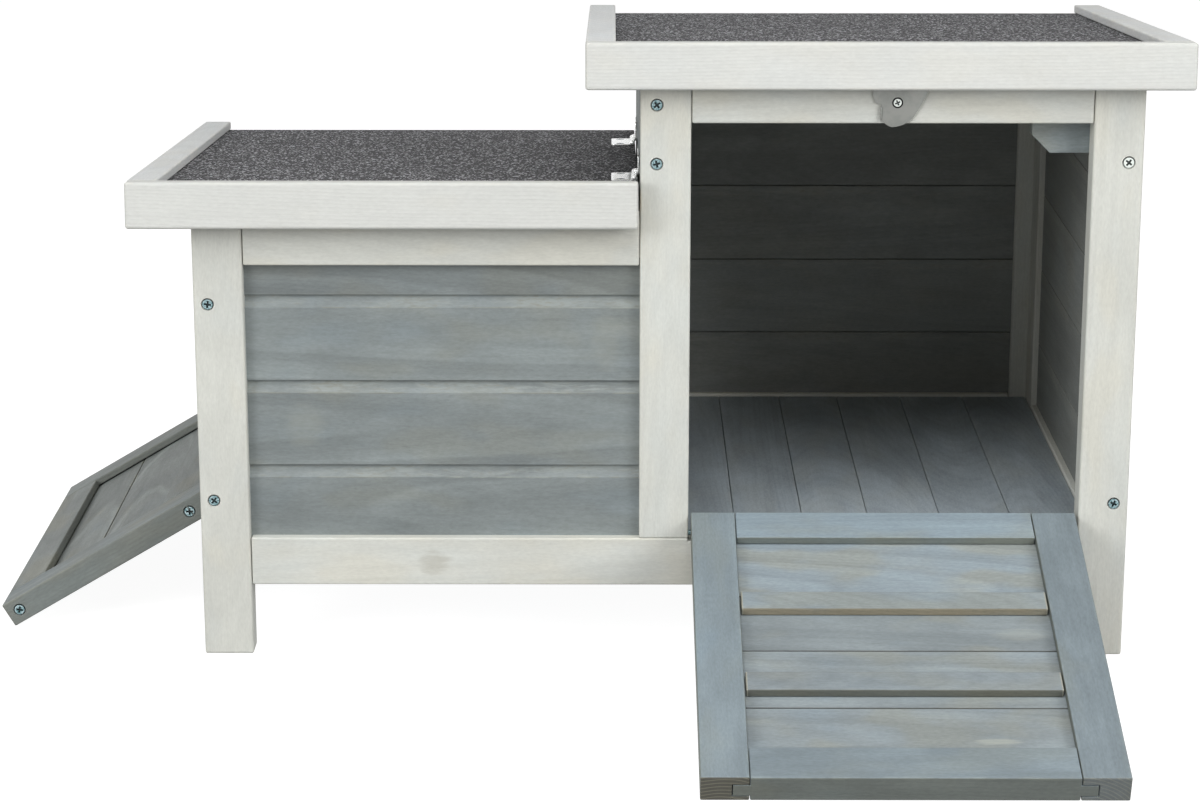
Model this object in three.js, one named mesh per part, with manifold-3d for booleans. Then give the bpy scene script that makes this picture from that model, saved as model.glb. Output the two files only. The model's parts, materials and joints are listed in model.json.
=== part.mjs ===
// Rabbit hutch with two rooms, a lifting roof and two drop-down ramp doors.
// Millimetres, +Z up. The front faces -Y and the low room is at -X.
// Design frame: x = 0 at the left end, y = 0 at the front face, z = 0 at the ground.
import * as THREE from 'three';
import { mergeVertices } from 'three/addons/utils/BufferGeometryUtils.js';
import Module from 'manifold-3d';

const wasm = await Module();
wasm.setup();

// ---------------------------------------------------------------- driving sizes
const bayWidth = 301; // clear width of each room's front
const postWidth = 38; // face width of legs, posts, stiles and rails
const frameThickness = 23; // thickness of every wall frame
const depth = 456; // front face to back face
const groundGap = 57; // under the bottom rails
const lowOpening = 216; // boarded height of the low front
const tallOpening = 325; // height of the front doorway
const lowTopRail = 42; // height of the low front's top rail
const roofSlope = THREE.MathUtils.degToRad(4.65); // both roofs fall towards the back

const boardPitch = 67.3; // face width of a wall or ramp board
const boardThickness = 10;
const boardSetback = 8; // from a wall's outer face to its boards
const boardEase = 0.6; // along a board's other edges
const coveHeight = 9.3; // scooped top edge of a board's outer face
const coveDepth = 2;
const coveSteps = 5;
const tongueHeight = 5;
const tongueThickness = 4;
const grooveDepth = 8; // in stiles and rails
const slip = 0.3; // all round a board or tongue in its groove
const seat = 0.3; // between pieces that rest on each other at an angle
const edgeChamfer = 1; // along the edges of sawn timber

const floorBoardWidths = [57.6, 56.4, 57.4, 52.3, 54.2]; // from the right end, then over again
const minFloorBoard = 5; // a narrower remainder is left on its neighbour
const floorThickness = 10;
const floorDrop = 2.7; // floor top below the bottom rails' top
const ledgeWidth = 12;
const ledgeHeight = 10;

const deckThickness = 14;
const feltThickness = 2;
const stripWidth = 22.5;
const stripThickness = 7;
const fasciaThickness = 15;
const fasciaHeight = 35.3;
const fasciaEase = 1.5;
const stripEase = 0.8;
const frontOverhang = 20;
const backOverhang = 2;
const lowLeftOverhang = 46.4;
const tallLeftOverhang = 41;
const tallRightOverhang = 33.6;
const lidGap = 1.5; // between the lifting roof and the tall room's wall

const doorThickness = 20;
const doorMember = 34; // face width of a ramp door's stiles and rails
const doorBoard = 9; // thickness of a ramp door's boards
const doorBoardSetback = 4; // from the door's outer face to its boards
const doorGroove = 12;
const doorSideGap = 2;
const doorEndGap = 1.5; // least gap between a shut door and the rail below it
const doorTopGap = 3.5; // clears the resting turn button
const doorFrontGap = 0.5; // outer face behind the wall's outer face when shut
const pinFromFace = 4; // pivot pin's centre from the door's outer face
const pinFromEnd = 4.5; // pivot pin's centre from the door's lower end
const pinRadius = 2;
const pinReach = 8; // into the post on each side
const pinClearance = 0.3;
const railClearance = 0.4; // between an open door and the edge of the bottom rail
const restGap = 0.3; // between a resting ramp and the ground
const cleatWidth = 21.5;
const cleatThickness = 6.5;
const cleatEndGap = 2.5;
const firstCleat = 99.5; // from the pivot pin to the first cleat
const cleatPitch = 98;

const sillDrop = 2.5; // the front bottom rail is cut down under the doorway
const sideTopRail = 34; // height of the left end's top rail at its middle
const sidePivotRail = 51; // the side door's rail at its pins

const latchThickness = 1.5;
const latchScrewHead = 4.7;
const latchScrewShank = 2;
const latchStandOff = 0.5;
const latchAboveDoorway = 16;
const latchFromMiddle = 3; // to the right of the front doorway's middle
const hingeLength = 50;
const hingeLeafWidth = 18;
const hingeGauge = 1.2;
const hingeBarrel = 2.2;
const hingeFromFront = 76;
const hingeFromBack = 112;

// ---------------------------------------------------------------- derived sizes
const width = 3 * postWidth + 2 * bayWidth;
const middleLeft = postWidth + bayWidth;
const middleRight = middleLeft + postWidth;
const rightLeg = width - postWidth;
const backFrame = depth - frameThickness;
const railTop = groundGap + postWidth;
const lowTop = railTop + lowOpening + lowTopRail;
const tallTop = railTop + tallOpening + postWidth;
const boardFront = boardSetback;
const boardBack = boardSetback + boardThickness;
const tanSlope = Math.tan(roofSlope);
const roofHeightAt = (top, y) => top - y * tanSlope;
const backLowOpening = roofHeightAt(lowTop, depth) - postWidth - railTop;
const backTallOpening = roofHeightAt(tallTop, depth) - postWidth - railTop;
const stileFront = [frameThickness, frameThickness + postWidth];
const stileBack = [backFrame - postWidth, backFrame];
const endSpan = [stileFront[1], stileBack[0]];
const sideMiddle = (endSpan[0] + endSpan[1]) / 2;
const latchX = (middleRight + rightLeg) / 2 + latchFromMiddle;
const sideOpeningTop = roofHeightAt(lowTop, sideMiddle) - sideTopRail;
const sideLatchY = (endSpan[0] + sideMiddle) / 2; // where the sloping roof leaves more room
const sill = railTop - sillDrop;

// ---------------------------------------------------------------- materials
const paint = (color, roughness, metalness = 0) => ({ color, roughness, metalness });
const whitewash = paint(0xdfe0db, 0.62);
const bluegrey = paint(0x8d989c, 0.66);
const roofFelt = paint(0x3b3b3d, 0.95);
const bareWood = paint(0xb9a98c, 0.8);
const zinc = paint(0xb8bcc0, 0.35, 0.9);

// ---------------------------------------------------------------- solids
const outline = (points) => new THREE.Shape(points.map(([u, v]) => new THREE.Vector2(u, v)));

const axes = {
  x: [[0, 1, 0], [0, 0, 1], [1, 0, 0]], // profile in (y, z)
  y: [[1, 0, 0], [0, 0, 1], [0, -1, 0]], // profile in (x, z)
  z: [[1, 0, 0], [0, 1, 0], [0, 0, 1]], // profile in (x, y)
};

// A profile swept in a straight line along one axis, between two stations.
function sweep(axis, shape, from, to, curveSegments = 12) {
  const settings = { depth: to - from, bevelEnabled: false, curveSegments };
  const geometry = new THREE.ExtrudeGeometry(shape, settings);
  const [u, v, w] = axes[axis].map((a) => new THREE.Vector3(...a));
  geometry.applyMatrix4(new THREE.Matrix4().makeBasis(u, v, w));
  return geometry.translate(axis === 'x' ? from : 0, axis === 'y' ? to : 0, axis === 'z' ? from : 0);
}

function block([x0, x1], [y0, y1], [z0, z1]) {
  const geometry = new THREE.BoxGeometry(x1 - x0, y1 - y0, z1 - z0);
  return geometry.translate((x0 + x1) / 2, (y0 + y1) / 2, (z0 + z1) / 2);
}

// Rectangular section with its four long edges eased.
function easedSection([u0, u1], [v0, v1], ease = edgeChamfer) {
  return outline([
    [u0 + ease, v0], [u1 - ease, v0], [u1, v0 + ease], [u1, v1 - ease],
    [u1 - ease, v1], [u0 + ease, v1], [u0, v1 - ease], [u0, v0 + ease],
  ]);
}

function timber(axis, uRange, vRange, from, to, ease = edgeChamfer) {
  return sweep(axis, easedSection(uRange, vRange, ease), from, to);
}

function rod(axis, radius, from, to, u, v, sides = 16) {
  const ring = Array.from({ length: sides }, (_, i) => {
    const angle = ((i + 0.5) * 2 * Math.PI) / sides;
    return [u + radius * Math.cos(angle), v + radius * Math.sin(angle)];
  });
  return sweep(axis, outline(ring), from, to);
}

function solid(geometry) {
  const bare = geometry.clone();
  bare.deleteAttribute('normal');
  bare.deleteAttribute('uv');
  const welded = mergeVertices(bare, 1e-4);
  return new wasm.Manifold(new wasm.Mesh({
    numProp: 3,
    vertProperties: new Float32Array(welded.attributes.position.array),
    triVerts: new Uint32Array(welded.index.array),
  }));
}

function carve(geometry, { add = [], cut = [], keep = [] }) {
  let body = solid(geometry);
  add.forEach((g) => { body = body.add(solid(g)); });
  cut.forEach((g) => { body = body.subtract(solid(g)); });
  keep.forEach((g) => { body = body.intersect(solid(g)); });
  const mesh = body.getMesh();
  const result = new THREE.BufferGeometry();
  const stride = mesh.numProp;
  const count = mesh.vertProperties.length / stride;
  const position = new Float32Array(count * 3);
  for (let i = 0; i < count; i += 1) {
    position.set(mesh.vertProperties.subarray(i * stride, i * stride + 3), i * 3);
  }
  result.setAttribute('position', new THREE.BufferAttribute(position, 3));
  result.setIndex(new THREE.BufferAttribute(new Uint32Array(mesh.triVerts), 1));
  const flat = result.toNonIndexed();
  flat.computeVertexNormals();
  return flat;
}

const hutch = new THREE.Group();
hutch.name = 'rabbit_hutch';
const carcass = new THREE.Group();
hutch.add(carcass);

function piece(parent, name, geometry, look) {
  const mesh = new THREE.Mesh(geometry, new THREE.MeshStandardMaterial(look));
  mesh.name = name;
  parent.add(mesh);
  return mesh;
}

// Everything under a roof plane that starts at height `top` over the front face.
function underRoof(top) {
  const near = -50;
  const far = depth + 50;
  const shape = outline([
    [near, -10], [far, -10], [far, roofHeightAt(top, far)], [near, roofHeightAt(top, near)],
  ]);
  return sweep('x', shape, -50, width + 50);
}

// ---------------------------------------------------------------- front and back wall frames
// The back frame repeats the front one, turned to face +Y.
const tongueReach = grooveDepth - 1;
const frames = {
  front: {
    outer: 0,
    inward: 1,
    lowOpening,
    tallOpening,
  },
  back: {
    outer: depth,
    inward: -1,
    lowOpening: backLowOpening,
    tallOpening: backTallOpening,
  },
};

const span = (frame, near, far) => {
  const ends = [frame.outer + frame.inward * near, frame.outer + frame.inward * far];
  return ends[0] < ends[1] ? ends : [ends[1], ends[0]];
};

// A groove or mortise cut into the face at `face`, running into +X or -X.
function sideGroove(frame, face, direction, z0, z1) {
  const inner = face + direction * grooveDepth;
  const x = direction > 0 ? [face - 1, inner] : [inner, face + 1];
  return block(x, span(frame, boardFront - slip, boardBack + slip), [z0, z1]);
}

function endTongues(frame, x0, x1, z0, z1) {
  const y = span(frame, boardFront, boardBack);
  return [block([x0 - tongueReach, x0 + 1], y, [z0, z1]), block([x1 - 1, x1 + tongueReach], y, [z0, z1])];
}

function edgeGroove(frame, x0, x1, z0, z1) {
  return block([x0, x1], span(frame, boardFront - slip, boardBack + slip), [z0, z1]);
}

// A drop-down door whose open leaf clears the bottom rail and rests its far edge on the ground.
const pinFromOuter = doorFrontGap + pinFromFace;
function dropDoor(bottom, top) {
  let lift = pinFromEnd + doorEndGap;
  let length = top - bottom;
  let angle = 0;
  for (let i = 0; i < 40; i += 1) {
    length = top - bottom - (lift - pinFromEnd) - doorTopGap;
    const reach = length - pinFromEnd;
    const fall = (bottom + lift - restGap) / Math.hypot(pinFromFace, reach);
    angle = Math.asin(fall) - Math.atan2(pinFromFace, reach);
    const clearing = (pinFromFace + railClearance + pinFromOuter * Math.sin(angle)) / Math.cos(angle);
    lift = Math.max(pinFromEnd + doorEndGap, clearing);
  }
  return { length, angle, pinZ: bottom + lift };
}
const ramp = dropDoor(sill, railTop + tallOpening);
const sideDoor = dropDoor(railTop, sideOpeningTop);

const pinHole = (x0, x1) => rod('x', pinRadius + pinClearance, x0, x1, pinFromOuter, ramp.pinZ);

function wallFrame(side, frame, middleTenon) {
  const full = span(frame, 0, frameThickness);
  const isFront = side === 'front';
  const lowEnd = railTop + frame.lowOpening;
  const tallEnd = railTop + frame.tallOpening;
  const lowRoof = underRoof(lowTop);
  const tallRoof = underRoof(tallTop);

  piece(carcass, `leg_${side}_left`, carve(timber('z', [0, postWidth], full, 0, lowTop + 20), {
    cut: [sideGroove(frame, postWidth, -1, groundGap, lowTop + 30)],
    keep: [lowRoof],
  }), whitewash);

  const rightCuts = isFront
    ? [
      sideGroove(frame, rightLeg, 1, groundGap, sill),
      sideGroove(frame, rightLeg, 1, tallEnd - slip, tallTop + 30),
      pinHole(rightLeg - 1, rightLeg + pinReach + 1),
    ]
    : [sideGroove(frame, rightLeg, 1, groundGap, tallTop + 30)];
  piece(carcass, `leg_${side}_right`, carve(timber('z', [rightLeg, width], full, 0, tallTop + 20), {
    cut: rightCuts,
    keep: [tallRoof],
  }), whitewash);

  const tenonX = [middleLeft + 9, middleRight - 9];
  const middleCuts = [sideGroove(frame, middleLeft, 1, railTop - 1, lowTop + (isFront ? 1 : -30))];
  if (isFront) {
    middleCuts.push(sideGroove(frame, middleRight, -1, tallEnd - slip, tallTop + 30));
    middleCuts.push(pinHole(middleRight - pinReach - 1, middleRight + 1));
  } else {
    middleCuts.push(sideGroove(frame, middleRight, -1, railTop - 1, tallTop + 30));
  }
  const middlePost = timber('z', [middleLeft, middleRight], full, railTop, tallTop + 20);
  piece(carcass, `post_${side}_middle`, carve(middlePost, {
    add: [block(tenonX, span(frame, boardFront, boardBack), [railTop - middleTenon, railTop + 1])],
    cut: middleCuts,
    keep: [tallRoof],
  }), whitewash);

  const ledgeTop = railTop - floorDrop - floorThickness - slip;
  const ledge = block([postWidth, rightLeg], span(frame, frameThickness - 1, frameThickness + ledgeWidth),
    [ledgeTop - ledgeHeight, ledgeTop]);
  const bottomCuts = [
    edgeGroove(frame, postWidth - 1, middleLeft + grooveDepth, railTop - grooveDepth, railTop + 1),
    block([tenonX[0] - slip, tenonX[1] + slip], span(frame, boardFront - slip, boardBack + slip),
      [railTop - middleTenon - 1, railTop + 1]),
  ];
  if (isFront) {
    bottomCuts.push(block([middleRight, rightLeg + 1], [-1, frameThickness + 1], [sill, railTop + 1]));
  } else {
    const tallGroove = [middleRight - grooveDepth, rightLeg + 1];
    bottomCuts.push(edgeGroove(frame, ...tallGroove, railTop - grooveDepth, railTop + 1));
  }
  const bottomRail = timber('x', full, [groundGap, railTop], postWidth, rightLeg);
  piece(carcass, `rail_${side}_bottom`, carve(bottomRail, {
    add: [...endTongues(frame, postWidth, rightLeg, groundGap + 1, railTop - grooveDepth - 1), ledge],
    cut: bottomCuts,
  }), whitewash);

  const lowRail = timber('x', full, [lowEnd, lowTop + 20], postWidth, middleLeft);
  piece(carcass, `rail_${side}_top_low`, carve(lowRail, {
    add: endTongues(frame, postWidth, middleLeft, lowEnd + grooveDepth + 1, lowTop - (isFront ? 0 : 40)),
    cut: [edgeGroove(frame, postWidth - 1, middleLeft + 1, lowEnd - 1, lowEnd + grooveDepth)],
    keep: [lowRoof],
  }), whitewash);

  const tallCuts = isFront
    ? [rod('y', latchScrewShank + slip, -1, 15, latchX, tallEnd + latchAboveDoorway)]
    : [edgeGroove(frame, middleRight - 1, rightLeg + 1, tallEnd - 1, tallEnd + grooveDepth)];
  const tallRail = timber('x', full, [tallEnd, tallTop + 20], middleRight, rightLeg);
  piece(carcass, `rail_${side}_top_tall`, carve(tallRail, {
    add: endTongues(frame, middleRight, rightLeg, tallEnd + (isFront ? 0 : grooveDepth + 1),
      tallTop - (isFront ? 0 : 40)),
    cut: tallCuts,
    keep: [tallRoof],
  }), whitewash);
}

wallFrame('front', frames.front, 12);
wallFrame('back', frames.back, 12);

// ---------------------------------------------------------------- boards
// Scoop at a board's top edge on its outer face `t`, from its lower ridge up to the joint at `z`.
function cove(t, inward, z) {
  return Array.from({ length: coveSteps + 1 }, (_, i) => {
    const along = i / coveSteps;
    return [t + inward * coveDepth * Math.sin((along * Math.PI) / 2), z - coveHeight * (1 - along)];
  });
}

// Section of one tongue-and-groove board, set across (t0 outer, t1 inner) and standing from z0 to z1.
function boardSection(t0, t1, z0, z1, { tongue, groove }) {
  const middle = (t0 + t1) / 2;
  const half = tongueThickness / 2;
  const gap = half + slip;
  const lower = groove
    ? [
      [t0, z0 + boardEase], [t0 + boardEase, z0], [middle - gap, z0],
      [middle - gap, z0 + tongueHeight + slip], [middle + gap, z0 + tongueHeight + slip],
      [middle + gap, z0], [t1 - boardEase, z0], [t1, z0 + boardEase],
    ]
    : [[t0, z0], [t1, z0]];
  const upper = tongue
    ? [[t1, z1 - boardEase], [t1 - boardEase, z1], [middle + half, z1], [middle + half, z1 + tongueHeight],
      [middle - half, z1 + tongueHeight], [middle - half, z1], ...cove(t0, 1, z1).reverse()]
    : [[t1, z1], [t0, z1]];
  return outline([...lower, ...upper]);
}

// Heights of the joints between boards that start on the bottom rail.
function boardJoints(bottom, top, firstWidth, pitch) {
  const joints = [];
  for (let z = bottom + firstWidth; z < top - coveHeight - 1; z += pitch) {
    joints.push(z);
  }
  return joints;
}

const firstWallBoard = 56.4; // the lowest board is cut down to start level
const boardEnd = grooveDepth - 1;

const frontJoints = boardJoints(railTop, railTop + lowOpening, firstWallBoard, boardPitch);
const frontEdges = [railTop - boardEnd, ...frontJoints, railTop + lowOpening + boardEnd];
for (let i = 0; i < frontEdges.length - 1; i += 1) {
  const start = frontEdges[i] + (i > 0 ? slip : 0);
  const section = boardSection(boardFront, boardBack, start, frontEdges[i + 1], {
    groove: i > 0,
    tongue: i < frontEdges.length - 2,
  });
  piece(carcass, `front_board_${i + 1}`,
    sweep('x', section, postWidth - boardEnd, middleLeft + boardEnd), bluegrey);
}

// Boards glued up as one panel from z0 to z1, with each joint's scoop on the outer face.
function panelSection(outer, inner, z0, z1, joints) {
  const inward = Math.sign(inner - outer);
  const v = inward * boardEase;
  const up = joints.flatMap((z) => [...cove(outer, inward, z), [outer + v, z], [outer, z + boardEase]]);
  const down = [...joints].reverse().flatMap((z) => [
    [inner, z + boardEase], [inner - v, z], [inner, z - boardEase],
  ]);
  return outline([[inner, z0], [outer, z0], ...up, [outer, z1], [inner, z1], ...down]);
}

function backPanel(name, x0, x1, opening) {
  const [t0, t1] = span(frames.back, boardFront, boardBack);
  const joints = boardJoints(railTop, railTop + opening, firstWallBoard, boardPitch);
  const section = panelSection(t1, t0, railTop - boardEnd, railTop + opening + boardEnd, joints);
  piece(carcass, name, sweep('x', section, x0 - boardEnd, x1 + boardEnd), bluegrey);
}

backPanel('back_boards_low', postWidth, middleLeft, backLowOpening);
backPanel('back_boards_tall', middleRight, rightLeg, backTallOpening);

// ---------------------------------------------------------------- end walls

// A groove in an end wall's stile, cut from `face` towards +Y or -Y.
function endGroove([b0, b1], face, direction, z0, z1) {
  const inner = face + direction * grooveDepth;
  return block([b0 - slip, b1 + slip], direction > 0 ? [face - 1, inner] : [inner, face + 1], [z0, z1]);
}

function endRailTongues(boards, z0, z1) {
  return [
    block(boards, [endSpan[0] - tongueReach, endSpan[0] + 1], [z0, z1]),
    block(boards, [endSpan[1] - 1, endSpan[1] + tongueReach], [z0, z1]),
  ];
}

function endWall(side, x, boards, top, openingTop, boarded, drill) {
  const roof = underRoof(top);
  const grooveAll = (face, direction) => (boarded
    ? [endGroove(boards, face, direction, groundGap, top + 30)]
    : [
      endGroove(boards, face, direction, groundGap, railTop - grooveDepth),
      endGroove(boards, face, direction, openingTop + grooveDepth, top + 30),
    ]);
  piece(carcass, `stile_${side}_front`, carve(timber('z', x, stileFront, groundGap, top + 20), {
    cut: [...grooveAll(stileFront[1], -1), ...drill.front],
    keep: [roof],
  }), whitewash);
  piece(carcass, `stile_${side}_back`, carve(timber('z', x, stileBack, groundGap, top + 20), {
    cut: [...grooveAll(stileBack[0], 1), ...drill.back],
    keep: [roof],
  }), whitewash);
  const rebateX = [boards[0] - slip, boards[1] + slip];
  const rebate = (z0, z1) => block(rebateX, [endSpan[0] - 1, endSpan[1] + 1], [z0, z1]);
  piece(carcass, `rail_${side}_bottom`, carve(timber('y', x, [groundGap, railTop], ...endSpan), {
    add: endRailTongues(boards, groundGap + 1, railTop - grooveDepth - 1),
    cut: boarded ? [rebate(railTop - grooveDepth, railTop + 1)] : [],
  }), whitewash);
  piece(carcass, `rail_${side}_top`, carve(timber('y', x, [openingTop, top + 20], ...endSpan), {
    add: endRailTongues(boards, openingTop + grooveDepth + 1, roofHeightAt(top, endSpan[1]) - 6),
    cut: [...(boarded ? [rebate(openingTop - 1, openingTop + grooveDepth)] : []), ...drill.top],
    keep: [roof],
  }), whitewash);
}

const leftWall = [0, frameThickness];
const leftBoards = [boardFront, boardBack];
const rightWall = [width - frameThickness, width];
const rightBoards = [width - boardBack, width - boardFront];
const sidePinHole = (y0, y1) => rod('y', pinRadius + pinClearance, y0, y1, pinFromOuter, sideDoor.pinZ);

endWall('left', leftWall, leftBoards, lowTop, sideOpeningTop, false, {
  front: [sidePinHole(stileFront[1] - pinReach - 1, stileFront[1] + 1)],
  back: [sidePinHole(stileBack[0] - 1, stileBack[0] + pinReach + 1)],
  top: [rod('x', latchScrewShank + slip, -1, 15, sideLatchY, sideOpeningTop + latchAboveDoorway)],
});
const rightOpeningTop = railTop + backTallOpening;
endWall('right', rightWall, rightBoards, tallTop, rightOpeningTop, true, { front: [], back: [], top: [] });

const rightJoints = boardJoints(railTop, rightOpeningTop, firstWallBoard, boardPitch);
piece(carcass, 'right_boards', sweep('y',
  panelSection(rightBoards[1], rightBoards[0], railTop - boardEnd, rightOpeningTop + boardEnd, rightJoints),
  endSpan[0] - boardEnd, endSpan[1] + boardEnd), bluegrey);

// Wall of the tall room above the lifting roof: three boards that run down with the slope.
const upperWallDrop = 12; // below the top of the low frames
const upperWallHeight = tallTop - lowTop + upperWallDrop;
const upperWallJoints = [1, 2].map((i) => lowTop - upperWallDrop + (i * upperWallHeight) / 3);
const upperWallSlab = sweep('y',
  panelSection(middleLeft, middleLeft + frameThickness, lowTop - upperWallDrop, tallTop, upperWallJoints),
  -50, depth + 50);
upperWallSlab.rotateX(-roofSlope);
upperWallSlab.translate(0, tallTop * -Math.sin(roofSlope), tallTop * (1 - Math.cos(roofSlope)));
piece(carcass, 'wall_upper_left', carve(upperWallSlab, {
  keep: [
    block([0, width], [frameThickness + seat, backFrame - seat], [0, tallTop + 50]),
    underRoof(tallTop),
  ],
}), bluegrey);

// ---------------------------------------------------------------- floor and door stop
const floorTop = railTop - floorDrop;
const floorX = [frameThickness + seat, width - frameThickness - seat];
const floorJoints = [];
for (let x = floorX[1] - floorBoardWidths[0]; x > floorX[0] + minFloorBoard;) {
  floorJoints.unshift(x);
  x -= floorBoardWidths[floorJoints.length % floorBoardWidths.length];
}
function floorSection() {
  const v = boardEase;
  const over = [...floorJoints].reverse().flatMap((x) => [
    [x + v, floorTop], [x, floorTop - v], [x - v, floorTop],
  ]);
  const bottom = floorTop - floorThickness;
  return outline([
    [floorX[0], bottom], [floorX[1], bottom], [floorX[1], floorTop], ...over, [floorX[0], floorTop],
  ]);
}
const floorY = [frameThickness + seat, backFrame - seat];
piece(carcass, 'floor_boards', sweep('y', floorSection(), ...floorY), bluegrey);

const stopLength = 58;
const stopDrop = 26.5; // below the doorway's top rail
const stopHeight = 50;
const stopThickness = 15;
const stopCorner = 14;
const stopRight = width - frameThickness - 0.5;
const stopLow = railTop + tallOpening - stopDrop;
piece(carcass, 'door_stop', sweep('y', outline([
  [stopRight - stopLength + stopCorner, stopLow], [stopRight, stopLow], [stopRight, stopLow + stopHeight],
  [stopRight - stopLength, stopLow + stopHeight], [stopRight - stopLength, stopLow + stopCorner],
]), frameThickness, frameThickness + stopThickness), bluegrey);

// ---------------------------------------------------------------- roofs
// Each roof is built level over its own front edge, then turned to the slope.
function tilted(top) {
  const group = new THREE.Group();
  group.position.set(0, 0, top);
  group.rotation.x = -roofSlope;
  hutch.add(group);
  return group;
}

const roofFront = -frontOverhang + fasciaThickness + seat;
const roofBack = (depth + backOverhang) / Math.cos(roofSlope);
const deckTop = seat + deckThickness;
const feltTop = deckTop + seat + feltThickness;
const stripTop = feltTop + seat + stripThickness;

function roof(group, name, x0, x1, strips) {
  piece(group, `${name}_deck`, block([x0, x1], [roofFront, roofBack], [seat, deckTop]), bareWood);
  piece(group, `${name}_felt`, block([x0, x1], [roofFront, roofBack], [deckTop + seat, feltTop]), roofFelt);
  const fasciaZ = [stripTop - fasciaHeight, stripTop];
  const fascia = timber('x', [-frontOverhang, roofFront - seat], fasciaZ, x0, x1, fasciaEase);
  piece(group, `${name}_fascia`, fascia, whitewash);
  strips.forEach(([side, edge]) => {
    const stripZ = [feltTop + seat, stripTop];
    const strip = timber('y', [edge, edge + stripWidth], stripZ, roofFront, roofBack, stripEase);
    piece(group, `${name}_strip_${side}`, strip, whitewash);
  });
}

const lowRoofEnd = middleLeft - lidGap;
const lowRoof = tilted(lowTop);
roof(lowRoof, 'low_roof', -lowLeftOverhang, lowRoofEnd, [['left', -lowLeftOverhang]]);

const tallLeft = middleLeft - tallLeftOverhang;
const tallRight = width + tallRightOverhang;
const tallRoof = tilted(tallTop);
roof(tallRoof, 'tall_roof', tallLeft, tallRight, [['left', tallLeft], ['right', tallRight - stripWidth]]);

// ---------------------------------------------------------------- butt hinges of the lifting roof
// Knuckles in thirds: the two outer ones belong to the roof leaf, the middle one to the wall leaf.
const barrelX = middleLeft - hingeGauge - hingeBarrel - 0.4;
const barrelZ = feltTop + seat + hingeBarrel;
const knuckle = hingeLength / 5;

function hinge(index, centre) {
  const y0 = centre - hingeLength / 2;
  const y1 = centre + hingeLength / 2;
  const plateZ = [feltTop + seat, feltTop + seat + hingeGauge];
  const inner = [y0 + 2 * knuckle, y1 - 2 * knuckle];
  const roofLeaf = carve(block([barrelX - hingeLeafWidth, barrelX], [y0, y1], plateZ), {
    add: [
      rod('y', hingeBarrel, y0, inner[0], barrelX, barrelZ),
      rod('y', hingeBarrel, inner[1], y1, barrelX, barrelZ),
    ],
    cut: [block([barrelX - hingeBarrel - 0.8, barrelX + 5], [inner[0] - seat, inner[1] + seat],
      [plateZ[0] - 1, barrelZ + 5])],
  });
  piece(lowRoof, `hinge_${index}_roof_leaf`, roofLeaf, zinc);
  const wallX = [middleLeft - seat - hingeGauge, middleLeft - seat];
  const wallLeaf = carve(block(wallX, [y0, y1], [barrelZ + hingeBarrel + 0.5, barrelZ + hingeLeafWidth]), {
    add: [
      rod('y', hingeBarrel, ...inner, barrelX, barrelZ),
      block([barrelX, wallX[1]], inner, [barrelZ, barrelZ + hingeBarrel]),
      block(wallX, inner, [barrelZ, barrelZ + hingeBarrel + 1]),
    ],
  });
  const mesh = piece(hutch, `hinge_${index}_wall_leaf`, wallLeaf, zinc);
  mesh.position.copy(lowRoof.position);
  mesh.rotation.copy(lowRoof.rotation);
}

hinge(1, hingeFromFront);
hinge(2, depth - hingeFromBack);

// ---------------------------------------------------------------- ramp doors
// Built shut: x across the door from its left stile, y inwards from the pin, z up from the pin.
const leafOuter = -pinFromFace;
const leafInner = doorThickness - pinFromFace;
const leafBoards = [leafOuter + doorBoardSetback, leafOuter + doorBoardSetback + doorBoard];
const leafGroove = [leafBoards[0] - slip, leafBoards[1] + slip];

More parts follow.
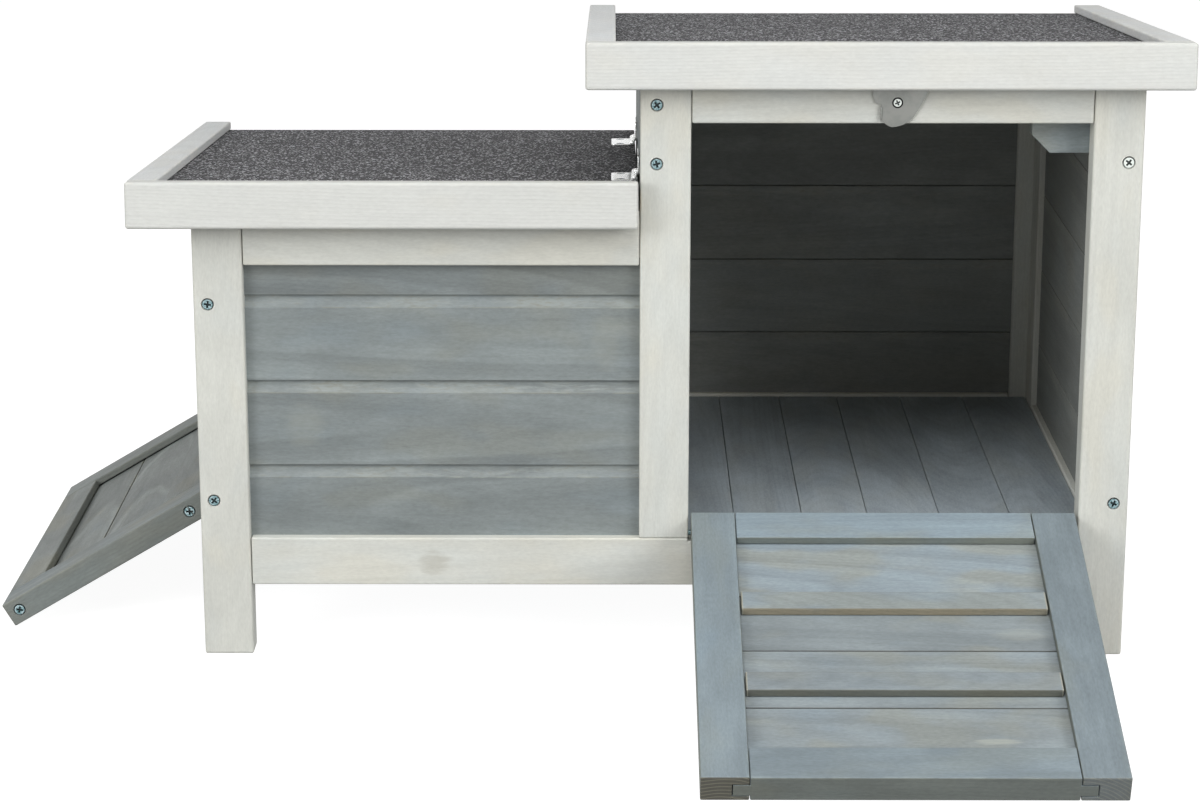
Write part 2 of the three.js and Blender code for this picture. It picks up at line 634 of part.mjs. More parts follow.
function rampDoor(parent, name, across, length, pivotRail, oneBoardPanel, cleats) {
  const z0 = -pinFromEnd;
  const z1 = length - pinFromEnd;
  const left = doorMember;
  const right = across - doorMember;

  const pinReachIn = 5; // of a pin into its stile
  const pinLeft = [-doorSideGap - pinReach, pinReachIn];
  const pinRight = [across - pinReachIn, across + doorSideGap + pinReach];
  const stile = (x0, grooveX, pinX) => carve(
    timber('z', [x0, x0 + doorMember], [leafOuter, leafInner], z0, z1), {
      add: [rod('x', pinRadius, ...pinX, 0, 0)],
      cut: [block(grooveX, leafGroove, [z0 - 1, z1 + 1])],
    });
  const leftStile = stile(0, [left - doorGroove, left + 1], pinLeft);
  piece(parent, `${name}_stile_left`, leftStile, bluegrey);
  const rightStile = stile(right, [right - 1, right + doorGroove], pinRight);
  piece(parent, `${name}_stile_right`, rightStile, bluegrey);

  const tongue = doorGroove - 1;
  const rail = (r0, r1, groove) => carve(
    timber('x', [leafOuter, leafInner], [r0, r1], left + seat, right - seat), {
      add: [
        block([left - tongue, left + 1], leafBoards, [r0, r1]),
        block([right - 1, right + tongue], leafBoards, [r0, r1]),
      ],
      cut: [block([left - doorGroove - 1, right + doorGroove + 1], leafGroove, groove)],
    });
  const lowEdge = z0 + pivotRail;
  const highEdge = z1 - doorMember;
  piece(parent, `${name}_rail_pivot`, rail(z0, lowEdge, [lowEdge - grooveDepth, lowEdge + 1]), bluegrey);
  piece(parent, `${name}_rail_free`, rail(highEdge, z1, [highEdge - 1, highEdge + grooveDepth]), bluegrey);

  const joints = boardJoints(lowEdge, highEdge, boardPitch, boardPitch);
  const boardX = [left - tongue, right + tongue];
  if (oneBoardPanel) {
    const section = panelSection(...leafBoards, lowEdge - boardEnd, highEdge + boardEnd, joints);
    piece(parent, `${name}_boards`, sweep('x', section, ...boardX), bluegrey);
  } else {
    const edges = [lowEdge - boardEnd, ...joints, highEdge + boardEnd];
    for (let i = 0; i < edges.length - 1; i += 1) {
      const section = boardSection(...leafBoards, edges[i] + (i > 0 ? slip : 0), edges[i + 1], {
        groove: i > 0,
        tongue: i < edges.length - 2,
      });
      piece(parent, `${name}_board_${i + 1}`, sweep('x', section, ...boardX), bluegrey);
    }
  }
  cleats.forEach((z, i) => {
    const cleatY = [leafBoards[1] + seat, leafBoards[1] + seat + cleatThickness];
    const cleat = timber('x', cleatY, [z, z + cleatWidth], left + cleatEndGap, right - cleatEndGap);
    piece(parent, `${name}_cleat_${i + 1}`, cleat, bluegrey);
  });
}

// Holder at the pivot pin; the inner group lies open on the ground.
function openDoor(x, y, turn, door) {
  const holder = new THREE.Group();
  holder.position.set(x, y, door.pinZ);
  holder.rotation.z = turn;
  const leaf = new THREE.Group();
  leaf.rotation.x = Math.PI / 2 + door.angle;
  holder.add(leaf);
  hutch.add(holder);
  return leaf;
}

const rampAcross = bayWidth - 2 * doorSideGap;
const rampLeaf = openDoor(middleRight + doorSideGap, pinFromOuter, 0, ramp);
const rampCleats = [firstCleat, firstCleat + cleatPitch];
rampDoor(rampLeaf, 'ramp', rampAcross, ramp.length, doorMember, false, rampCleats);

const sideAcross = endSpan[1] - endSpan[0] - 2 * doorSideGap;
const sideLeaf = openDoor(pinFromOuter, endSpan[1] - doorSideGap, -Math.PI / 2, sideDoor);
rampDoor(sideLeaf, 'side_door', sideAcross, sideDoor.length, sidePivotRail, true, []);

// ---------------------------------------------------------------- turn buttons
// Zinc plate on one screw; the hook on its left catches a finger, the long arm holds the door.
function turnButtonPlate() {
  const shape = new THREE.Shape();
  shape.moveTo(-18, 11);
  shape.lineTo(-18.5, 7);
  shape.quadraticCurveTo(-18, -1, -12.5, -1.2);
  shape.lineTo(-12.5, -9);
  shape.quadraticCurveTo(-12, -16, -3.8, -18.6);
  shape.quadraticCurveTo(8, -17.5, 13, -9.5);
  shape.quadraticCurveTo(18, -2, 22.9, 9);
  shape.quadraticCurveTo(26, 14, 31, 15);
  shape.quadraticCurveTo(30, 20, 24, 20);
  shape.lineTo(-6, 20);
  shape.quadraticCurveTo(-16, 18.5, -18, 11);
  return shape;
}

function turnButton(name) {
  const plate = sweep('y', turnButtonPlate(), -latchStandOff - latchThickness, -latchStandOff, 5);
  const face = -latchStandOff - latchThickness;
  const head = new THREE.LatheGeometry([
    [0, 0], [latchScrewHead, 0], [latchScrewHead, 0.7], [3.4, 1.9], [0, 2.4],
  ].map(([r, h]) => new THREE.Vector2(r, h)), 20);
  head.rotateX(Math.PI);
  head.translate(0, face + 0.1, 0);
  const button = carve(plate, { add: [head, rod('y', latchScrewShank, face, 12, 0, 0)] });
  return piece(hutch, name, button, zinc);
}

turnButton('latch_front').position.set(latchX, 0, railTop + tallOpening + latchAboveDoorway);
const sideLatch = turnButton('latch_left');
sideLatch.position.set(0, sideLatchY, sideOpeningTop + latchAboveDoorway);
sideLatch.rotation.z = -Math.PI / 2;

// ---------------------------------------------------------------- place the hutch over its own footprint
hutch.updateMatrixWorld(true);
const extent = new THREE.Box3().setFromObject(hutch, true);
hutch.position.set(-(extent.min.x + extent.max.x) / 2, -(extent.min.y + extent.max.y) / 2, -extent.min.z);
hutch.updateMatrixWorld(true);

export default hutch;
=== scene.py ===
"""Rabbit hutch with two rooms, a lifting felted roof and two drop-down ramp doors.

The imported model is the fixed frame. This add-on dresses it: whitewashed frames, stained boards,
felted roofs and zinc fittings, each one a piece that stands for the part it is named after.
"""

import json
import math
import random
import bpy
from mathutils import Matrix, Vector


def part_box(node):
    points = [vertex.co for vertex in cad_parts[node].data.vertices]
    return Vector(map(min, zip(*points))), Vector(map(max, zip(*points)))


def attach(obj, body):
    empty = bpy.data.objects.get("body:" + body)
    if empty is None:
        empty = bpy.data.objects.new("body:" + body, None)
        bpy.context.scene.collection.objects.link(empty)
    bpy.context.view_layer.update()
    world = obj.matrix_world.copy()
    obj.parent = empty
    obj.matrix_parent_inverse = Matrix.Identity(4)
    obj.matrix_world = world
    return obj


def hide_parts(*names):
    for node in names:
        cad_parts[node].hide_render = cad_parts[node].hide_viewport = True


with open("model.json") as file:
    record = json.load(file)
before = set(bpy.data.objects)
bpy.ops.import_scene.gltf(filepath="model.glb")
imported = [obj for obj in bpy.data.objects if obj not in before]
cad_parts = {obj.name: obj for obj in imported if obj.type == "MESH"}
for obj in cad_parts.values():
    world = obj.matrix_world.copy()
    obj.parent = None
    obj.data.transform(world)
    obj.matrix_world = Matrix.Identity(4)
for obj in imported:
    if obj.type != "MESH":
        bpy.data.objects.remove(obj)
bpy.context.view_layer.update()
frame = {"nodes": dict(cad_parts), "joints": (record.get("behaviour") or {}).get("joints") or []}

from types import SimpleNamespace

import bmesh
import bpy
from mathutils import Matrix, Vector, noise

bl_info = {
    "name": "Rabbit hutch",
    "version": (1, 0, 0),
    "blender": (4, 5, 0),
    "location": "View3D > Sidebar > Hutch",
    "description": "Builds and finishes a small wooden rabbit hutch around its construction model",
    "category": "Object",
}

MM = 0.001
JOINTS = {joint["name"]: joint for joint in frame["joints"]}


# ---------------------------------------------------------------- sizes read from the frame
def node_box(node, place=Matrix.Identity(4)):
    """Lowest and highest corner of a part, in the straight frame of the panel it belongs to."""
    back = place.inverted()
    points = [back @ vertex.co for vertex in frame["nodes"][node].data.vertices]
    low = Vector([min(p[i] for p in points) for i in range(3)])
    high = Vector([max(p[i] for p in points) for i in range(3)])
    return low, high


LEG_LOW, LEG_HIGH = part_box("leg_front_left")
FRONT = LEG_LOW.y
LEFT = LEG_LOW.x
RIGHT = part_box("leg_front_right")[1].x
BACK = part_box("leg_back_left")[1].y
POST = LEG_HIGH.x - LEG_LOW.x
FRAME_DEPTH = LEG_HIGH.y - LEG_LOW.y
LOW_TOP = LEG_HIGH.z
TALL_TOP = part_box("leg_front_right")[1].z
RAIL_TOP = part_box("rail_front_bottom")[1].z
FALL = (LOW_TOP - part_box("leg_back_left")[1].z) / (BACK - FRAME_DEPTH - FRONT)
SLOPE = math.atan(FALL)
MIDDLE_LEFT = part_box("post_front_middle")[0].x
MIDDLE_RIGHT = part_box("post_front_middle")[1].x


def roof_place(top):
    """Straight frame of a roof: level over the front face's top edge before it is turned to the slope."""
    return Matrix.Translation((0, FRONT, top)) @ Matrix.Rotation(-SLOPE, 4, "X")


def door_place(joint_name, turn):
    """Straight frame of a door: across, inwards and up from its pin, as it stands when shut."""
    joint = JOINTS[joint_name]
    swing = math.radians(-joint["range_deg"][0])
    upright = Matrix.Rotation(turn, 4, "Z") @ Matrix.Rotation(swing, 4, "X")
    return Matrix.Translation(joint["pos_m"]) @ upright


LOW_ROOF = roof_place(LOW_TOP)
TALL_ROOF = roof_place(TALL_TOP)

# ---------------------------------------------------------------- sizes that the frame doesn't show
LEG_EDGE = 1.7 * MM
STRIP_EDGE = 1.2 * MM
DOOR_EDGE = 1.0 * MM
THIN_EDGE = 0.7 * MM

# boards: how far the frame's boards pass a joint, the tongues made here, and the narrowest board
FRAME_TONGUE = 5 * MM
TONGUE_ROOT = 2 * MM
TONGUE_SHORT = 0.5 * MM
TONGUE_SHARES = (0.3, 0.6)
TONGUE_EDGE = 0.2 * MM
NARROWEST = 5 * MM
FLOOR_BOARDS = [width * MM for width in (57.6, 56.4, 57.4, 52.3, 54.2)]
ROOF_BOARDS = 5

# timber: what stands past a slanting cut until it is trimmed, the doorway's sill, the stop's cut corner
SPARE = 5 * MM
SILL_DROP = 2.5 * MM
STOP_CORNER = 14 * MM

# felt: cuts across the sheet, how far in from its rim it may be uneven, and by how much
FELT_CUTS = 30
FELT_RIM = 2 * MM
FELT_WAVE = 0.25 * MM
FELT_WAVES_PER_METRE = 26

# holes and screws; in the front face, each member's edge, how many millimetres in, and at which heights
HOLE_DEPTH = 3.2 * MM
HOLE_TAPER = 0.75
SCREW_SIDES = 32
FRONT_SCREWS = {
    "leg_front_left": (LEFT, 10.75, (280.6, 125)),
    "post_front_middle": (MIDDLE_LEFT, 12.3, (433.7, 389)),
    "leg_front_right": (RIGHT, -11, (390.4, 123.4)),
}

# how many of a leg's screws, from the top, are newer and brighter than the rest
NEWER_SCREWS = {"leg_front_right": 1}

# hinges
HINGE_GAUGE = 1.2 * MM
HINGE_CORNER = 2.2 * MM
HINGE_BARREL = 2.2 * MM
HINGE_SCREW_ROW = 18 * MM
HINGE_HOLE_RIM = 0.9 * MM
HINGE_HOLE_DEPTH = 1.0 * MM
ROOF_LEAF_SCREWS = 7.5 * MM
WALL_LEAF_SCREWS = 8.5 * MM
WALL_LEAF_LIFT = 0.5 * MM
KNUCKLES = 5
KNUCKLE_GAP = 0.15 * MM
HINGE_PIN_END = 0.5 * MM

# doors: the stiles' grooves, the rails' stubs in them, the pins, and the screws from each end of a stile
STILE_GROOVE = 12 * MM
STUB_SHORT = 0.6 * MM
STUB_SHOULDER = 0.12 * MM
STUB_ROOT = 3 * MM
BOARD_SHORT = 1 * MM
PIN_RADIUS = 2 * MM
PIN_INSIDE = 4 * MM
PIN_OUTSIDE = 10 * MM
CLEAT_SHORT = 1 * MM
SIDE_DOOR_JOINT = 113.8 * MM
RAMP_SCREWS = (17 * MM, 17 * MM)
SIDE_DOOR_SCREWS = (26.5 * MM, 10.5 * MM)

# turn buttons: the plate's face and back, its dished seat, and its screw
LATCH_FACE = -2 * MM
LATCH_BACK = -0.5 * MM
LATCH_SEAT = 4.1 * MM
LATCH_SEAT_DEPTH = 1.35 * MM
LATCH_SCREW = 3.4 * MM

# marks on the sticks: millimetres along and across from the middle, half length, half width, and how dark
BLEMISHES = {
    "rail_front_bottom": (-178, -1, 15, 11, 0.45),
    "front_board_2": (-106, -2, 18, 22, -0.30),
    "front_board_3": (125, -2, 14, 26, -0.30),
    "ramp_board_2": (92, 14, 24, 9, -0.40),
    "ramp_board_4": (62, 10, 19, 4, -0.85),
}

# how pale, how tilted and how deep-hearted the sticks are whose look is known; the others are drawn at random
TONES = {
    "front_board_4": (0.03, 0.80, 0.10),
    "front_board_3": (0.62, 0.40, 0.25),
    "front_board_2": (0.48, 0.66, 0.20),
    "front_board_1": (0.42, 0.30, 0.30),
    "ramp_rail_pivot": (1.25, 0.45, 0.60),
    "ramp_rail_free": (0.25, 0.55, 0.70),
    "ramp_board_1": (1.05, 0.80, 0.25),
    "ramp_board_2": (0.35, 0.42, 0.35),
    "ramp_board_3": (0.62, 0.58, 0.30),
    "ramp_board_4": (0.60, 0.70, 0.15),
    "ramp_stile_left": (0.38, 0.50, 0.98),
    "ramp_stile_right": (0.16, 0.45, 0.42),
}


# ---------------------------------------------------------------- what a user would change
def length(name, description, default):
    return bpy.props.FloatProperty(name=name, description=description, default=default, min=0, unit="LENGTH")


def colour(name, description, default):
    return bpy.props.FloatVectorProperty(
        name=name, description=description, default=default, size=3, min=0, max=1, subtype="COLOR")


def srgb(*levels):
    """A colour given as red, green and blue on a screen, from 0 to 255, as scene-linear values."""
    return tuple(((c / 255 + 0.055) / 1.055) ** 2.4 if c > 10 else c / 255 / 12.92 for c in levels)


class HutchSizes(bpy.types.PropertyGroup):
    """Sizes of the finishing details"""

    timber_edge: length("Timber edge", "Rounding along the edges of frame timber", 1.3 * MM)
    board_edge: length("Board edge", "Rounding along the edges of thin boards", 0.5 * MM)
    fascia_edge: length("Fascia edge", "Rounding along the fascias' edges", 2.2 * MM)
    cove_height: length("Cove height", "Height of the scooped top edge of a wall board", 9.4 * MM)
    cove_depth: length("Cove depth", "Depth of the scooped top edge of a wall board", 3.0 * MM)
    joint_gap: length("Joint gap", "Gap where a rail meets a leg", 0.6 * MM)
    board_gap: length("Board gap", "Gap between two boards", 0.5 * MM)
    groove_reach: length("Groove reach", "How far a board is shown inside the groove that holds it", 2.5 * MM)
    screw_head: length("Screw head", "Radius of a frame screw's head", 4.5 * MM)
    screw_rim: length("Screw rim", "Gap around a screw's head in its countersunk hole", 0.6 * MM)
    hinge_screw: length("Hinge screw", "Radius of a hinge screw's head", 2.7 * MM)


class HutchColours(bpy.types.PropertyGroup):
    """Colours of the finishes"""

    whitewash: colour("Whitewash", "Thin white stain on the frames and strips", srgb(198, 199, 192))
    fascia: colour("Fascia white", "White stain on the roofs' fascias", srgb(196, 197, 193))
    stain: colour("Stain", "Grey-blue stain on the wall boards", srgb(121, 128, 128))
    floor: colour("Floor stain", "Grey-blue stain on the floor", srgb(152, 162, 169))
    ramp_stain: colour("Ramp stain", "Grey-blue stain on the front ramp", srgb(126, 138, 144))
    side_stain: colour("Side stain", "Grey-brown stain on the left door", srgb(121, 126, 124))
    bare_wood: colour("Bare wood", "Sawn wood that has no stain", srgb(186, 166, 132))
    felt: colour("Felt", "Bitumen between the felt's granules", srgb(22, 22, 24))
    granule: colour("Granule", "Palest granules on the felt", srgb(206, 206, 210))
    zinc: colour("Zinc", "Blue-grey zinc plating of the screws", srgb(172, 192, 196))
    bright_zinc: colour("Bright zinc", "Newer screws", srgb(232, 236, 230))
    plate: colour("Plate", "Turn buttons' plate", srgb(134, 135, 131))
    nickel: colour("Nickel", "White nickel plating of the hinges", srgb(246, 247, 246))


class HutchStage(bpy.types.PropertyGroup):
    """Camera and light"""

    lens: bpy.props.FloatProperty(
        name="Lens", description="Focal length on a 36 mm wide sensor", default=93.78, unit="CAMERA")
    sky: bpy.props.FloatProperty(
        name="Sky", description="Strength of the even light all round", default=0.18)
    side_light: bpy.props.FloatProperty(
        name="Side lights", description="Power of each light beside the camera", default=66, unit="POWER")
    top_light: bpy.props.FloatProperty(
        name="Top light", description="Power of the soft light overhead", default=54, unit="POWER")
    floor_glow: bpy.props.FloatProperty(
        name="Floor glow", description="Share of plain white in the floor that the camera sees", default=0.62)
    floor_seen: bpy.props.FloatProperty(
        name="Floor seen", description="Paleness of the floor that the camera sees", default=0.8)
    floor_bounce: bpy.props.FloatProperty(
        name="Floor bounce", description="Paleness of the floor as it lights the hutch", default=0.36)


def sizes():
    return bpy.context.scene.hutch_sizes


def colours():
    return bpy.context.scene.hutch_colours


# ---------------------------------------------------------------- shader maths
class Wire:
    """The output of a shader node, so that shader maths reads as plain arithmetic."""

    def __init__(self, nodes, socket):
        self.nodes = nodes
        self.socket = socket

    def maths(self, operation, *others):
        return self.nodes.maths(operation, self, *others)

    def __add__(self, other):
        return self.maths("ADD", other)

    __radd__ = __add__

    def __mul__(self, other):
        return self.maths("MULTIPLY", other)

    __rmul__ = __mul__

    def __sub__(self, other):
        return self.maths("SUBTRACT", other)

    def __rsub__(self, other):
        return self.nodes.maths("SUBTRACT", other, self)

    def __truediv__(self, other):
        return self.maths("DIVIDE", other)

    def __pow__(self, other):
        return self.maths("POWER", other)

    def __abs__(self):
        return self.maths("ABSOLUTE")

    def output(self, name):
        return Wire(self.nodes, self.socket.node.outputs[name])


class Nodes:
    """A tree of shader nodes under construction."""

    def __init__(self, owner):
        owner.use_nodes = True
        self.tree = owner.node_tree
        self.tree.nodes.clear()

    def node(self, kind, settings=None, inputs=None, output=0):
        """Adds one node: its settings first, then the values or wires of its sockets."""
        made = self.tree.nodes.new(kind)
        for name, value in (settings or {}).items():
            setattr(made, name, value)
        for key, value in (inputs or {}).items():
            if isinstance(value, Wire):
                self.tree.links.new(value.socket, made.inputs[key])
            else:
                made.inputs[key].default_value = value
        return Wire(self, made.outputs[output]) if made.outputs else None

    def maths(self, operation, *values):
        return self.node("ShaderNodeMath", {"operation": operation}, dict(enumerate(values)))

    def vector_maths(self, operation, *values):
        return self.node("ShaderNodeVectorMath", {"operation": operation}, dict(enumerate(values)))

    def stretch(self, vector, factors):
        return self.vector_maths("MULTIPLY", vector, factors)

    def shift(self, vector, other):
        return self.vector_maths("ADD", vector, other)

    def attribute(self, name, output="Vector"):
        return self.node("ShaderNodeAttribute", {"attribute_name": name}).output(output)

    def split(self, vector):
        """The three parts of a vector."""
        whole = self.node("ShaderNodeSeparateXYZ", inputs={0: vector})
        return whole, whole.output("Y"), whole.output("Z")

    def vector(self, x, y, z):
        return self.node("ShaderNodeCombineXYZ", inputs={0: x, 1: y, 2: z})

    def grey(self, level):
        return self.vector(level, level, level)

    def noise(self, vector, factors, detail=2.0, roughness=0.5):
        """Smooth noise with `factors` cycles per metre along the three axes."""
        return self.node("ShaderNodeTexNoise", inputs={
            "Vector": self.stretch(vector, factors), "Scale": 1.0, "Detail": detail, "Roughness": roughness})

    def cells(self, vector, scale=1.0):
        """Distance to the middle of the nearest of many scattered cells, which have random colours."""
        return self.node("ShaderNodeTexVoronoi", {"feature": "F1"}, {"Vector": vector, "Scale": scale})

    def step(self, value, low, high, to_low=0.0, to_high=1.0):
        """A smooth rise from `to_low` to `to_high` while the value goes from `low` to `high`."""
        return self.node("ShaderNodeMapRange", {"interpolation_type": "SMOOTHSTEP"}, {
            0: value, 1: low, 2: high, 3: to_low, 4: to_high})

    def fade(self, value, low, high):
        """A smooth fall from 1 to 0 while the value goes from `low` to `high`."""
        return self.step(value, low, high, 1.0, 0.0)

    def wave(self, value):
        """Sine of a value, from 0 to 1."""
        return self.maths("SINE", value) * 0.5 + 0.5

    def mix(self, factor, first, second, blend="MIX"):
        """Mixes two colours."""
        return self.node("ShaderNodeMix", {"data_type": "RGBA", "blend_type": blend}, {
            0: factor, 6: solid(first), 7: solid(second)}, 2)

    def shaded(self, colour, factor):
        """A colour multiplied by another colour or by a grey."""
        return self.mix(1.0, colour, factor, "MULTIPLY")

    def bump(self, height, distance, strength):
        return self.node("ShaderNodeBump", inputs={
            "Strength": strength, "Distance": distance, "Height": height})

    def seen(self):
        """1 on the rays that show something to the camera, 0 on those that light the hutch."""
        path = self.node("ShaderNodeLightPath")
        return self.maths("MAXIMUM", path.output("Is Camera Ray"), path.output("Is Glossy Ray"))

    def end(self, shader, kind="ShaderNodeOutputMaterial"):
        self.node(kind, inputs={"Surface": shader})


class Finish(Nodes):
    """A material under construction."""

    def __init__(self, name):
        self.material = bpy.data.materials.new(name)
        super().__init__(self.material)

    def surface(self, **inputs):
        """The surface shader. Keys are its socket names with underscores for spaces."""
        named = {key.replace("_", " "): value for key, value in inputs.items()}
        self.end(self.node("ShaderNodeBsdfPrincipled", inputs=named))
        return self.material


def solid(value):
    """A colour with its alpha, or a wire as it is."""
    return value if isinstance(value, Wire) else (*value, 1.0)


def tint(colour, factor):
    return tuple(min(1.0, c * f) for c, f in zip(colour, factor))


# ---------------------------------------------------------------- wood
# what a stained wood may change, and how plain stained wood has it
PLAIN_WOOD = {
    "cover": 0.86,  # how much of the wood the stain hides
    "ring_gap": 3.2 * MM,  # from one growth ring to the next
    "ring_depth": 0.05,  # how dark the growth rings are
    "streak_depth": 0.05,  # how dark the long streaks are
    "warm": 0.3,  # how far the colour wanders towards tan and blue
    "worn": 0.5,  # how much bare wood shows along the arrises
    "scuffed": 0.0,  # how much of it shows in the scooped edge of a board
    "straight": False,  # whether the rings run straight along the stick
    "line_bump": 0.5,  # how far the rings stand up
    "mottle": 1.0,  # strength of the broad blotches
    "fine": 0.1,  # depth of the fine grain lines
    "lap": 0.05,  # how much paler the stain is where brush strokes overlap
    "end_bare": 0.4,  # how bare the end grain is
    "spread": 0.07,  # how much one stick differs from the next
    "figure": 0.0,  # depth of the broad arches in the grain
    "veins": 0.0,  # how much paler the line along each arch is
    "outlined": 0.0,  # how dark the long arrises and how bare the end ones are
    "edge_tint": (1, 1, 1),  # colour of the narrow faces beside the good one: their own tint, and painted shade on faces turned from the light and in gaps
}


class Stick(Finish):
    """Stained softwood under construction.

    Each stick carries its own coordinates, along, across and out of its good face, its half sizes,
    and three numbers of its own: how bright it is, how its grain is tilted, and how deep its heart lies.
    """

    def __init__(self, name):
        super().__init__(name)
        place = self.attribute("grain")
        tone = self.attribute("tone")
        self.along, self.across, self.out = self.split(place)
        self.bright, self.tilt, self.heart = self.split(tone)
        self.here = self.shift(place, self.stretch(tone, (31.0, 17.0, 23.0)))
        self.wander = self.noise(self.here, (3.5, 16, 16)) - 0.5
        self.ragged = self.noise(self.here, (45, 260, 260), 4.0, 0.65)

    def rings(self, gap, straight):
        """Rings around a heart below the good face, the broad arches that they cut, and their veins."""
        reach, aside = (350 * MM, 300 * MM) if straight else (45 * MM, 0.0)
        y = self.across - ((self.bright - 0.5) * reach + aside)
        z = self.out - (self.heart * (-55 * MM) - 12 * MM) + self.along * (self.tilt - 0.5) * 0.34
        radius = (y * y + z * z) ** 0.5 + self.wander * (11 * MM)
        ring = self.wave(radius * (math.tau / gap)) ** 2.2
        bend = self.noise(self.shift(self.here, (5.0, 9.0, 2.0)), (5, 26, 26)) - 0.5
        turn = self.maths("FRACT", (radius + bend * (10 * MM)) / (13.5 * MM))
        arch = self.step(turn, 0.0, 0.80) * self.fade(turn, 0.84, 1.0)
        vein = self.step(turn, 0.70, 0.82) * self.fade(turn, 0.84, 0.97)
        return ring, arch, vein

    def knots(self):
        """A few knots to a board, and the rings inside them."""
        cell = self.cells(self.stretch(self.here, (5.2, 9.5, 9.5)))
        chosen = self.step(self.split(cell.output("Color"))[0], 0.80, 0.82)
        ragged = self.noise(self.here, (120, 160, 160)) * 0.03
        knot = self.fade(cell + ragged, 0.045, 0.10) * chosen
        return knot, self.wave(cell * 260.0) * knot

    def faces(self):
        """Distances to the nearest arris, to the nearer end and to the nearer narrow face."""
        half_long, half_wide, half_thick = self.split(self.attribute("half"))
        from_end = half_long - abs(self.along)
        from_side = half_wide - abs(self.across)
        from_face = half_thick - abs(self.out)
        nearer = self.maths("MINIMUM", from_side, from_face)
        farther = self.maths("MAXIMUM", from_side, from_face)
        arris = self.maths("MAXIMUM", nearer, self.maths("MINIMUM", farther, from_end))
        return arris, from_end, from_side

    def scoop(self):
        """The scooped edge of a board, and the worn ridge where the scoop begins."""
        rise = self.attribute("ridge", "Fac")
        scoop = self.step(rise + (self.ragged - 0.45) * (5 * MM), 0.0, 2 * MM)
        ridge = self.fade(abs(rise - (self.ragged - 0.5) * (0.8 * MM)), 0.1 * MM, 0.7 * MM)
        return scoop * self.fade(rise, 20 * MM, 30 * MM), ridge * self.step(self.out, 0.0, 1.5 * MM)

    def blemish(self, smear):
        """A dark and a pale mark, of which a stick has one or none."""
        u, v, dark = self.split(self.attribute("blemish"))
        mark = self.fade((u * u + v * v) ** 0.5 + (self.ragged - 0.5) * 1.2, 0.40, 1.05)
        mark = mark * self.step(smear, 0.25, 0.60, 0.4, 1.0)
        return mark * self.maths("MAXIMUM", dark, 0.0), mark * self.maths("MAXIMUM", dark * -1, 0.0)


